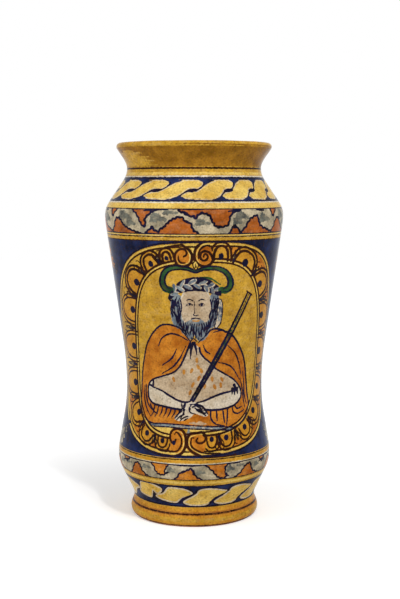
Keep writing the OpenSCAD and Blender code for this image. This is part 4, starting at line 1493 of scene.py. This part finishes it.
paint_lines("ink", HAND_MARKS, (1.2, 2.1, 1.2))
paint_lines("ink", CUFF, (3.0, 2.0, 1.0))
print("Staff and hands are painted")

# %% [markdown]
# ## Head
#
# The head is turned straight to the front. The hair falls in locks on both sides and runs into a full beard,
# and a band of small leaves lies round the brow.

# %% Shapes of the head
HEAD_AXIS = 1.2
CROWN_Z, CHIN_Z = 197.0, 156.5
FACE_HALF = 11.6
HAIR_LEFT = ((-16, 184), (-18, 178), (-18.2, 171), (-17, 164), (-13, 158.4), (-9, 160), (-9.6, 168),
             (-10.4, 176), (-10.6, 184))
HAIR_RIGHT = ((12.6, 184), (12.6, 176), (12, 168), (11, 160), (14.4, 158.4), (17, 163), (18, 171),
              (18.6, 178), (18.6, 184))
PALE_LOCK = ((17, 180.6), (20.6, 180.4), (22, 176), (21.8, 169), (20.6, 162.6), (17.4, 158.4), (15.6, 160),
             (17.6, 167), (17.8, 174))
BEARD = ((-10.4, 166), (-11, 159.5), (-8.8, 154.4), (-4.6, 151.4), (-1.6, 149.6), (0.2, 152.4),
         (2.4, 149.2), (5, 148.2), (8.6, 150.4), (11.4, 155), (13, 160), (12.8, 166), (9, 163), (5, 165.4),
         (1.2, 164.8), (-2.6, 165.4), (-6.6, 163))
BAND_LOWER = ((-18.4, 181.4), (-13, 185.2), (-7, 187), (1, 187.8), (9, 187), (15, 185.2), (20.4, 183.6))
BAND_UPPER = ((20.6, 187.4), (17, 191.4), (11, 195.2), (3, 197.2), (-5, 196.4), (-11.5, 193.4),
              (-15.6, 188.6), (-18.8, 184))
BAND_MIDDLE = ((-17.6, 184), (-13, 189.4), (-6, 191.8), (1.5, 192.6), (9, 191.2), (15, 188.4), (20.2, 185.4))
BAND_END = ((-15.2, 185), (-18.4, 184), (-19.4, 181.6), (-17.8, 179.6), (-15.8, 180.2))
PALE_STRANDS = ((-3.6, 157.6, 80), (-2.2, 153.4, 74), (0.8, 158.6, 88), (2.6, 153.4, 96), (4.4, 157.8, 92),
                (6.8, 154.4, 102), (-13.6, 172, 86), (-15.4, 164.6, 96), (14.4, 176, 88), (15.6, 168.4, 94))
LOCK_STRANDS = (((18.4, 178.8), (19.4, 172), (18.2, 162.4)), ((20.2, 179), (21, 172), (19.8, 163.6)))

head_middle = (HEAD_AXIS, (CROWN_Z + CHIN_Z) / 2 - 2)
paint("dot", "white", head_middle, (FACE_HALF + 1, (CROWN_Z - CHIN_Z) / 2 - 3))
paint("dot", "buff", head_middle, (FACE_HALF, (CROWN_Z - CHIN_Z) / 2 - 4))
for hair in (HAIR_LEFT, HAIR_RIGHT, BEARD):
    paint("patch", "white", hair)
    paint("patch", "slate", hair)
paint("patch", "white", PALE_LOCK)
paint("patch", "white", BAND_LOWER + BAND_UPPER)
paint("patch", "ink", BAND_LOWER + BAND_UPPER)
print(f"Head: {CROWN_Z - CHIN_Z:.0f} mm from crown to chin")

# %% [markdown]
# Locks are drawn by rule, side by side, and each sways a little in its own way. Pale strands are wiped out of
# the dark, and so are the leaves of the band.

# %% Hair, beard and band
LOCKS, LOCK_POINTS = 8, 5
LOCK_SIDES = ((-1, -17.6, -10.2), (1, 18.0, 12.6))
LOCK_TOP, LOCK_FOOT = 183, 158.4
BEARD_LOCKS, BEARD_HALF = 14, 11.4
BEARD_TOP, BEARD_FOOT = 162.0, 149.2
STRAND_HALF = (2.9, 0.6)
BAND_LEAVES = 12
LEAF_OFF, LEAF_LEAN, LEAF_STRAY = 1.7, 38, 14

for side, outer, inner in LOCK_SIDES:
    for i in range(LOCKS):
        share = i / (LOCKS - 1)
        x = outer + (inner - outer) * share
        high = LOCK_TOP - 3.5 * ((3 * i) % 4) / 3
        drop = LOCK_FOOT + 5 * (1 - share) ** 2 + 2.4 * ((5 * i) % 3)
        lock = []
        for k in range(LOCK_POINTS):
            sway = 0.9 * math.sin(0.7 * i + 1.9 * k)
            curl = side * 0.5 * k * (1 - share) * (k > 2)
            lock.append((x + sway - curl, high + (drop - high) * k / (LOCK_POINTS - 1)))
        paint("line", "ink", lock, (0.6, 1.3, 0.8, 1.5, 0.5))
for i in range(BEARD_LOCKS):
    share = i / (BEARD_LOCKS - 1) * 2 - 1
    x = HEAD_AXIS + BEARD_HALF * share
    foot = BEARD_FOOT + 6.4 * share**2 + 1.2 * (i % 2)
    top = BEARD_TOP + 3.0 * abs(share) ** 3
    sway = 0.8 * math.sin(0.8 * i)
    lock = ((x, top), (x + sway, 0.6 * top + 0.4 * foot), (x - sway - 1.4 * share, 0.3 * top + 0.7 * foot),
            (x - 2.8 * share, foot))
    paint("line", "ink", lock, (0.7, 1.7, 1.5, 0.5))
for x, z, lean in PALE_STRANDS:
    paint("wipe", ("ink",), (x, z), STRAND_HALF, lean)
paint("line", "ink", PALE_LOCK, (0.8, 1.0, 0.7, 1.0), closed=True)
paint_lines("slate", LOCK_STRANDS, (0.6, 1.3, 0.6))
paint("line", "ink", BAND_END, (1.0, 1.6, 1.4, 0.8))
paint("line", "ink", BAND_LOWER, (1.6, 1.4, 1.2, 1.4, 1.2))
paint("line", "ink", BAND_UPPER, (1.0, 1.6, 1.4, 1.6, 1.0))
midline = smooth(BAND_MIDDLE)
for i in range(BAND_LEAVES):
    at = 1 + int((len(midline) - 3) * (i + 0.5) / BAND_LEAVES)
    ahead = midline[at + 1] - midline[at - 1]
    ahead = ahead / np.linalg.norm(ahead)
    way = 1 if i % 2 else -1
    leaf = midline[at] + np.array([-ahead[1], ahead[0]]) * (LEAF_OFF * way)
    lean = math.degrees(math.atan2(ahead[1], ahead[0])) + LEAF_LEAN * way + LEAF_STRAY * math.sin(2.3 * i)
    paint("wipe", ("ink",), leaf, (3.6, 1.5 + 0.3 * math.sin(1.7 * i)), lean)
    paint("dot", "slate", leaf - 0.5 * ahead, (3.3, 1.2), lean)
print(f"Hair: {2 * LOCKS + BEARD_LOCKS} locks")

# %% [markdown]
# The face is a plain calm one on schoolbook proportions: the eyes halfway down the head, one eye's width
# apart, the nose and the mouth at even steps below.

# %% Face
EYE_Z = (CROWN_Z + CHIN_Z) / 2
EYE_W = FACE_HALF * 2 / 5
BROW_Z = EYE_Z + 0.085 * (CROWN_Z - CHIN_Z)
NOSE_Z = BROW_Z + (CHIN_Z - BROW_Z) / 2
MOUTH_Z = NOSE_Z + (CHIN_Z - NOSE_Z) / 3


def on_axis(*points):
    """Points of the face, given from the middle of the head."""
    return [(HEAD_AXIS + x, z) for x, z in points]


for side in (-1, 1):
    eye = HEAD_AXIS + side * EYE_W
    inner, outer = eye - side * EYE_W / 2, eye + side * EYE_W / 2
    brow = ((inner, BROW_Z - 0.4), (eye, BROW_Z + 0.6), (outer + side * 0.6, BROW_Z - 0.3))
    paint("line", "ink", brow, (0.9, 1.1, 0.6))
    paint("line", "ink", ((inner, EYE_Z - 0.2), (eye, EYE_Z + 1.0), (outer, EYE_Z)), (0.7, 0.9, 0.7))
    paint("line", "ink", ((inner + side * 0.4, EYE_Z - 0.8), (eye, EYE_Z - 1.2), (outer, EYE_Z - 0.6)), 0.5)
    paint("dot", "ink", (eye, EYE_Z), (0.9, 1.0))
paint("line", "ink", on_axis((-1.0, BROW_Z - 1.2), (-0.9, NOSE_Z + 3), (-1.7, NOSE_Z + 0.6)), 0.7)
paint("line", "ink", on_axis((-1.7, NOSE_Z + 0.5), (0, NOSE_Z - 0.3), (1.7, NOSE_Z + 0.5)), 0.8)
paint("line", "ink", on_axis((-3.2, MOUTH_Z + 1.4), (0, MOUTH_Z + 2), (3.2, MOUTH_Z + 1.4)), 1.0)
paint("line", "rust", on_axis((-2.4, MOUTH_Z), (0, MOUTH_Z - 0.4), (2.4, MOUTH_Z)), 1.1)
print(f"Face: eyes at {EYE_Z:.0f} mm, {EYE_W:.1f} mm wide")

# %% [markdown]
# ## Sides and back
#
# The sides and the back carry a common scrolling foliage on the cobalt ground. A leaf is a row of round lobes
# along a bent spine, which gives its scalloped edge, and a scroll of stem carries the leaves. The halves
# mirror each other about the back, with a rosette in the middle.

# %% Foliage on the sides and the back
BACK_DEG = 180
STEMS = (
    ((-62, 66), (-40, 76), (-30, 96), (-42, 114), (-58, 108), (-57, 96), (-48, 95)),
    ((-34, 88), (-20, 108), (-22, 132), (-38, 144), (-54, 138), (-56, 126), (-46, 122)),
    ((-20, 124), (-12, 150), (-20, 172), (-40, 178), (-54, 168), (-50, 156), (-42, 158)),
    ((-18, 164), (-22, 188), (-40, 204), (-58, 200), (-60, 188), (-50, 186)),
    ((0, 62), (0, 84), (-12, 92), (-18, 82), (-12, 76)),
    ((0, 84), (0, 120), (0, 150), (0, 182), (0, 206)),
    ((0, 206), (-10, 214), (-18, 206), (-12, 200)),
    ((-88, 60), (-76, 74), (-84, 94), (-73, 116), (-80, 140), (-72, 162), (-83, 184), (-78, 204), (-90, 219)))
FRONDS = (
    {"spine": ((-34, 84), (-46, 86), (-56, 82), (-62, 76)), "size": 6.4, "pigment": "leaf"},
    {"spine": ((-26, 102), (-16, 98), (-10, 104), (-8, 114)), "size": 5.6, "pigment": "orange"},
    {"spine": ((-21, 130), (-12, 134), (-8, 144)), "size": 5.0, "pigment": "leaf"},
    {"spine": ((-40, 144), (-50, 150), (-60, 146)), "size": 5.6, "pigment": "orange"},
    {"spine": ((-16, 160), (-28, 162), (-34, 154)), "size": 5.2, "pigment": "leaf"},
    {"spine": ((-30, 196), (-22, 208), (-28, 216), (-40, 216)), "size": 6.2, "pigment": "orange"},
    {"spine": ((-44, 176), (-56, 178), (-64, 188), (-66, 200)), "size": 6.2, "pigment": "leaf"},
    {"spine": ((-44, 110), (-56, 118), (-63, 113)), "size": 5.2, "pigment": "leaf"},
    {"spine": ((-56, 202), (-66, 212), (-76, 214)), "size": 5.6, "pigment": "orange"},
    {"spine": ((-56, 66), (-66, 70), (-76, 64)), "size": 5.2, "pigment": "leaf"},
    {"spine": ((-94, 213), (-106, 215), (-117, 209), (-124, 199)), "size": 7.4, "pigment": "orange"},
    {"spine": ((-90, 62), (-102, 63), (-111, 70), (-115, 79)), "size": 5.0, "pigment": "leaf"},
    {"spine": ((-80, 82), (-90, 90), (-97, 86)), "size": 5.6, "pigment": "orange"},
    {"spine": ((-78, 100), (-86, 108), (-84, 118)), "size": 5.0, "pigment": "leaf"},
    {"spine": ((-76, 122), (-68, 128), (-64, 136)), "size": 5.0, "pigment": "orange"},
    {"spine": ((-78, 134), (-86, 142), (-83, 152)), "size": 5.0, "pigment": "leaf"},
    {"spine": ((-75, 158), (-86, 164), (-88, 174)), "size": 5.2, "pigment": "orange"},
    {"spine": ((-82, 184), (-94, 184), (-101, 192)), "size": 5.6, "pigment": "leaf"},
)
BEADS = ((-48, 95), (-46, 122), (-42, 158), (-50, 186), (-12, 76), (-12, 200))
BEAD_RINGS = (("straw", 4.2), ("orange", 2.0), ("ink", 1.0))
ROSETTE = np.array((0, 142))
PETALS, PETAL_OFF, PETAL_HALF = 10, 8, (4.4, 2.6)
PETAL_RIB = 10
LOBES = 6


def frond(brush, spine, size, pigment):
    """A leaf of round lobes on both sides of a spine, largest near its foot."""
    curve = smooth(spine)
    place = np.linspace(0, len(curve) - 1, LOBES + 2)[1:]
    for i, at in enumerate(place):
        share = i / LOBES
        middle = curve[int(round(min(at, len(curve) - 1)))]
        ahead = curve[min(int(at) + 1, len(curve) - 1)] - curve[max(int(at) - 1, 0)]
        ahead = ahead / (np.linalg.norm(ahead) + 1e-9)
        side = np.array([-ahead[1], ahead[0]])
        swell = size * (1 - 0.62 * share) * (0.7 + 0.6 * math.sin(math.pi * min(1, share + 0.25)))
        for way in (-1, 1):
            tip = middle + side * way * swell * 0.75 + ahead * swell * 0.3
            lean = math.degrees(math.atan2(*(side * way + ahead * 0.5)[::-1]))
            brush.dot(pigment, tip, (swell * 0.75, swell * 0.5), lean)
            brush.line("ink", (middle, middle + (tip - middle) * 1.2), (0.9, 0.4))
    brush.line(pigment, curve, (size * 0.9, size * 0.7, 1.0))
    brush.line("ink", curve, (1.3, 1.0, 0.4))


for name, mirrored in (("blue_field_left", -1), ("blue_field_right", 1)):
    brush = brushes[name]
    brush.face(BACK_DEG + math.degrees(panel_turn))
    brush.across *= mirrored
    brush.coats["leaf"][:] = brush.coats["orange"][:] = FAR
    for stem in STEMS:
        brush.line("leaf", stem, (3.2, 3.0, 2.4, 2.0))
    for leaf in FRONDS:
        frond(brush, leaf["spine"], leaf["size"], leaf["pigment"])
    for bead in BEADS:
        for pigment, half in BEAD_RINGS:
            brush.dot(pigment, bead, half)
    for i in range(PETALS):
        spin = math.tau * (i + 0.5) / PETALS
        out = np.array((math.cos(spin), math.sin(spin)))
        brush.dot("straw", ROSETTE + PETAL_OFF * out, PETAL_HALF, math.degrees(spin))
        brush.line("ink", (ROSETTE, ROSETTE + PETAL_RIB * out), (1.0, 0.5))
    brush.dot("ink", ROSETTE, 3.2)
    for pigment in ("leaf", "orange"):
        brush.edging("ink", pigment, 1.0)
print(f"Foliage: {len(STEMS)} stems and {len(FRONDS)} leaves on each half")

# %% [markdown]
# ## Rim and inside
#
# The rim is brushed round with a brown ochre that stops below the lip, which stays a lighter mustard, and on
# one side streaks are wiped out of it as a painted highlight. The inside has a plain cream glaze over fine
# throwing rings. Both are turned skins, which start and end at points of the outline over the lip.

# %% Rim and inside
RIM_FINE = (480, 56, 6)
INSIDE_FINE = (240, 300, 20)
INSIDE_MAP_STRIPS = 2
RIM_PIGMENTS = ("mustard", "ochre", "brown")
RIM_WEAR = 0.03
CREAM = (srgb(222, 208, 178), srgb(186, 164, 124))
CREAM_SPECK = srgb(110, 78, 44)
CREAM_RELIEF = {"Strength": 0.4, "Distance": 0.6 * MM}


def inner_cream(name):
    """Cream glaze with throwing rings, brown specks and a few stains."""
    material, paint_tree, place = finish_start(name)
    rings = grain(place, 120, 2, (0.06, 0.06, 3))
    cloud = grain(place, 22, 4)
    colour = two_tone(paint_tree, cloud.step(0.3, 0.72), *CREAM)
    speck = grain(place, 900, 1).step(0.7, 0.76)
    colour = colour.tint(CREAM_SPECK, speck * 0.6)
    bump = paint_tree.node("ShaderNodeBump", None, CREAM_RELIEF | {"Height": rings + speck * -0.3})
    shader = paint_tree.node("ShaderNodeBsdfPrincipled", None,
                             {"Base Color": colour, "Roughness": 0.3 + 0.2 * cloud, "Normal": bump})
    paint_tree.node("ShaderNodeOutputMaterial", None, {"Surface": shader})
    return material


finishes["rim_glaze"] = painted_glaze("rim_glaze", RIM_PIGMENTS, RIM_WEAR)
finishes["inner_glaze"] = inner_cream("inner_glaze")
lip_number, last_number = float(lip_end), float(len(path) - 1)
turned = {"rim_glaze": (RIM_FINE, MAP_STRIPS, level("rim_glaze")[0] / PATH_STEP, lip_number),
          "inner_glaze": (INSIDE_FINE, INSIDE_MAP_STRIPS, lip_number, last_number)}
for name, (counts, strips, start, end) in turned.items():
    pieces[name] = make_skin(name, ring_tree, finishes[name], counts, {"From": start, "To": end})
    fold_map(pieces[name], counts, strips)
    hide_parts(name)
print("Rim and inside are glazed")

# %% [markdown]
# The ochre of the rim is a broad ring. Streaks are wiped out of it on one side as a painted highlight, and a
# fringe of thin strokes ends it under the lip, each at its own turn and length.

# %% Ochre of the rim
RIM_GROUND, RIM_OCHRE, RIM_LINE = (279, 302), (280.6, 296.0), (278.7, 280.2)
RIM_HIGHLIGHT_STREAKS = ((282, 28), (283.5, 24), (285, 26), (286.5, 20), (288, 22), (289.5, 14), (291, 17), (292.5, 9))
RIM_HIGHLIGHT_TURN, RIM_HIGHLIGHT_HALF = -60, 0.9
RIM_STROKES, RIM_STROKE_STEP_DEG = 60, 137.5
FRINGE_Z, FRINGE_SPREAD = 294.4, 2.6
FRINGE_HALF, FRINGE_HALF_SPREAD = 20, 40

brush = brushes["rim_glaze"] = Brush(pieces["rim_glaze"], RIM_PIGMENTS)
brush.stripe("mustard", *RIM_GROUND)
brush.stripe("ochre", *RIM_OCHRE)
# Painted highlight: streaks of ochre are wiped away on the left of the rim, so the lighter mustard shows.
brush.face(RIM_HIGHLIGHT_TURN)
for z, half in RIM_HIGHLIGHT_STREAKS:
    brush.wipe(("ochre",), (0, z), (half, RIM_HIGHLIGHT_HALF))
for i in range(RIM_STROKES):
    z = FRINGE_Z + FRINGE_SPREAD * (0.618 * i % 1)
    half = FRINGE_HALF + FRINGE_HALF_SPREAD * (0.382 * i % 1)
    brush.face(RIM_STROKE_STEP_DEG * i)
    brush.line("ochre", ((-half, z), (0, z + 0.5), (half, z - 0.3)), (0.3, 1.0, 0.4))
brush.stripe("brown", *RIM_LINE)
print(f"Rim: {RIM_STROKES} strokes of ochre")

# %% [markdown]
# The distances go onto the meshes last, as one attribute for each pigment, where the shaders read them.

# %% Store the painting
for brush in brushes.values():
    brush.done()
print(f"Painted pieces: {len(brushes)}")

# %% [markdown]
# ## Clay and slip
#
# Under the glaze the clay nodes of the frame stay as they are. Only the underside of the foot is bare, where
# the red clay shows turning rings, pores and glaze dust. The slip is the fine clay that luted the sections.

# %% Clay and slip
SLIP_NODES = ("floor_slip", "foot_slip", "base_slip", "shoulder_slip", "neck_slip")
CLAY_NODES = ("floor_disc", "foot_ring", "base_course", "waist_wall", "shoulder_course", "neck_rim")
CLAY = (srgb(198, 140, 100), srgb(158, 98, 64))
SLIP = (srgb(214, 178, 140), srgb(186, 142, 104))
PORE_BROWN, GLAZE_DUST = srgb(92, 52, 34), srgb(222, 204, 178)
TURNING_WAVES = 4200
CLAY_RELIEF = {"Strength": 0.5, "Distance": 0.4 * MM}


def fired_clay(name, pale, dark, ring_depth):
    """Unglazed clay with turning rings about the jar's axis, pores and grit."""
    material, paint_tree, place = finish_start(name)
    cloud = grain(place, 45, 4)
    grit = grain(place, 1400, 2)
    parts = place.node("ShaderNodeSeparateXYZ", None, {0: place})
    north = Wire(parts.tree, parts.socket.node.outputs["Y"])
    radius = parts.math("SQRT", parts * parts + north * north)
    rings = parts.math("SINE", radius * TURNING_WAVES + cloud * 5)
    colour = two_tone(paint_tree, cloud.step(0.3, 0.7), pale, dark)
    colour = colour.tint(PORE_BROWN, grit.step(0.62, 0.72) * 0.7)
    colour = colour.tint(GLAZE_DUST, grain(place, 260, 3).step(0.6, 0.72) * 0.45)
    height = rings * ring_depth + grit * 0.7
    bump = paint_tree.node("ShaderNodeBump", None, CLAY_RELIEF | {"Height": height})
    shader = paint_tree.node("ShaderNodeBsdfPrincipled", None,
                             {"Base Color": colour, "Roughness": 0.78 + 0.18 * cloud, "Normal": bump})
    paint_tree.node("ShaderNodeOutputMaterial", None, {"Surface": shader})
    return material


bare_clay = fired_clay("bare_clay", *CLAY, 0.5)
slip = fired_clay("slip", *SLIP, 0.1)
for names, finish in ((CLAY_NODES, bare_clay), (SLIP_NODES, slip)):
    for name in names:
        mesh = frame["nodes"][name].data
        mesh.materials.clear()
        mesh.materials.append(finish)
print(f"Clay: {len(CLAY_NODES)} sections and {len(SLIP_NODES)} slip joints")

# %% [markdown]
# ## Finish
#
# The helper line has done its work. Every skin rides on the one body of the jar, and the size of the dressed
# jar is measured and printed.

# %% Finish
bpy.data.objects.remove(outline)
for piece in pieces.values():
    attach(piece, "root")
low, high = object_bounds()
print(f"Dressed jar: {(high - low).x / MM:.1f} x {(high - low).y / MM:.1f} x {(high - low).z / MM:.1f} mm")
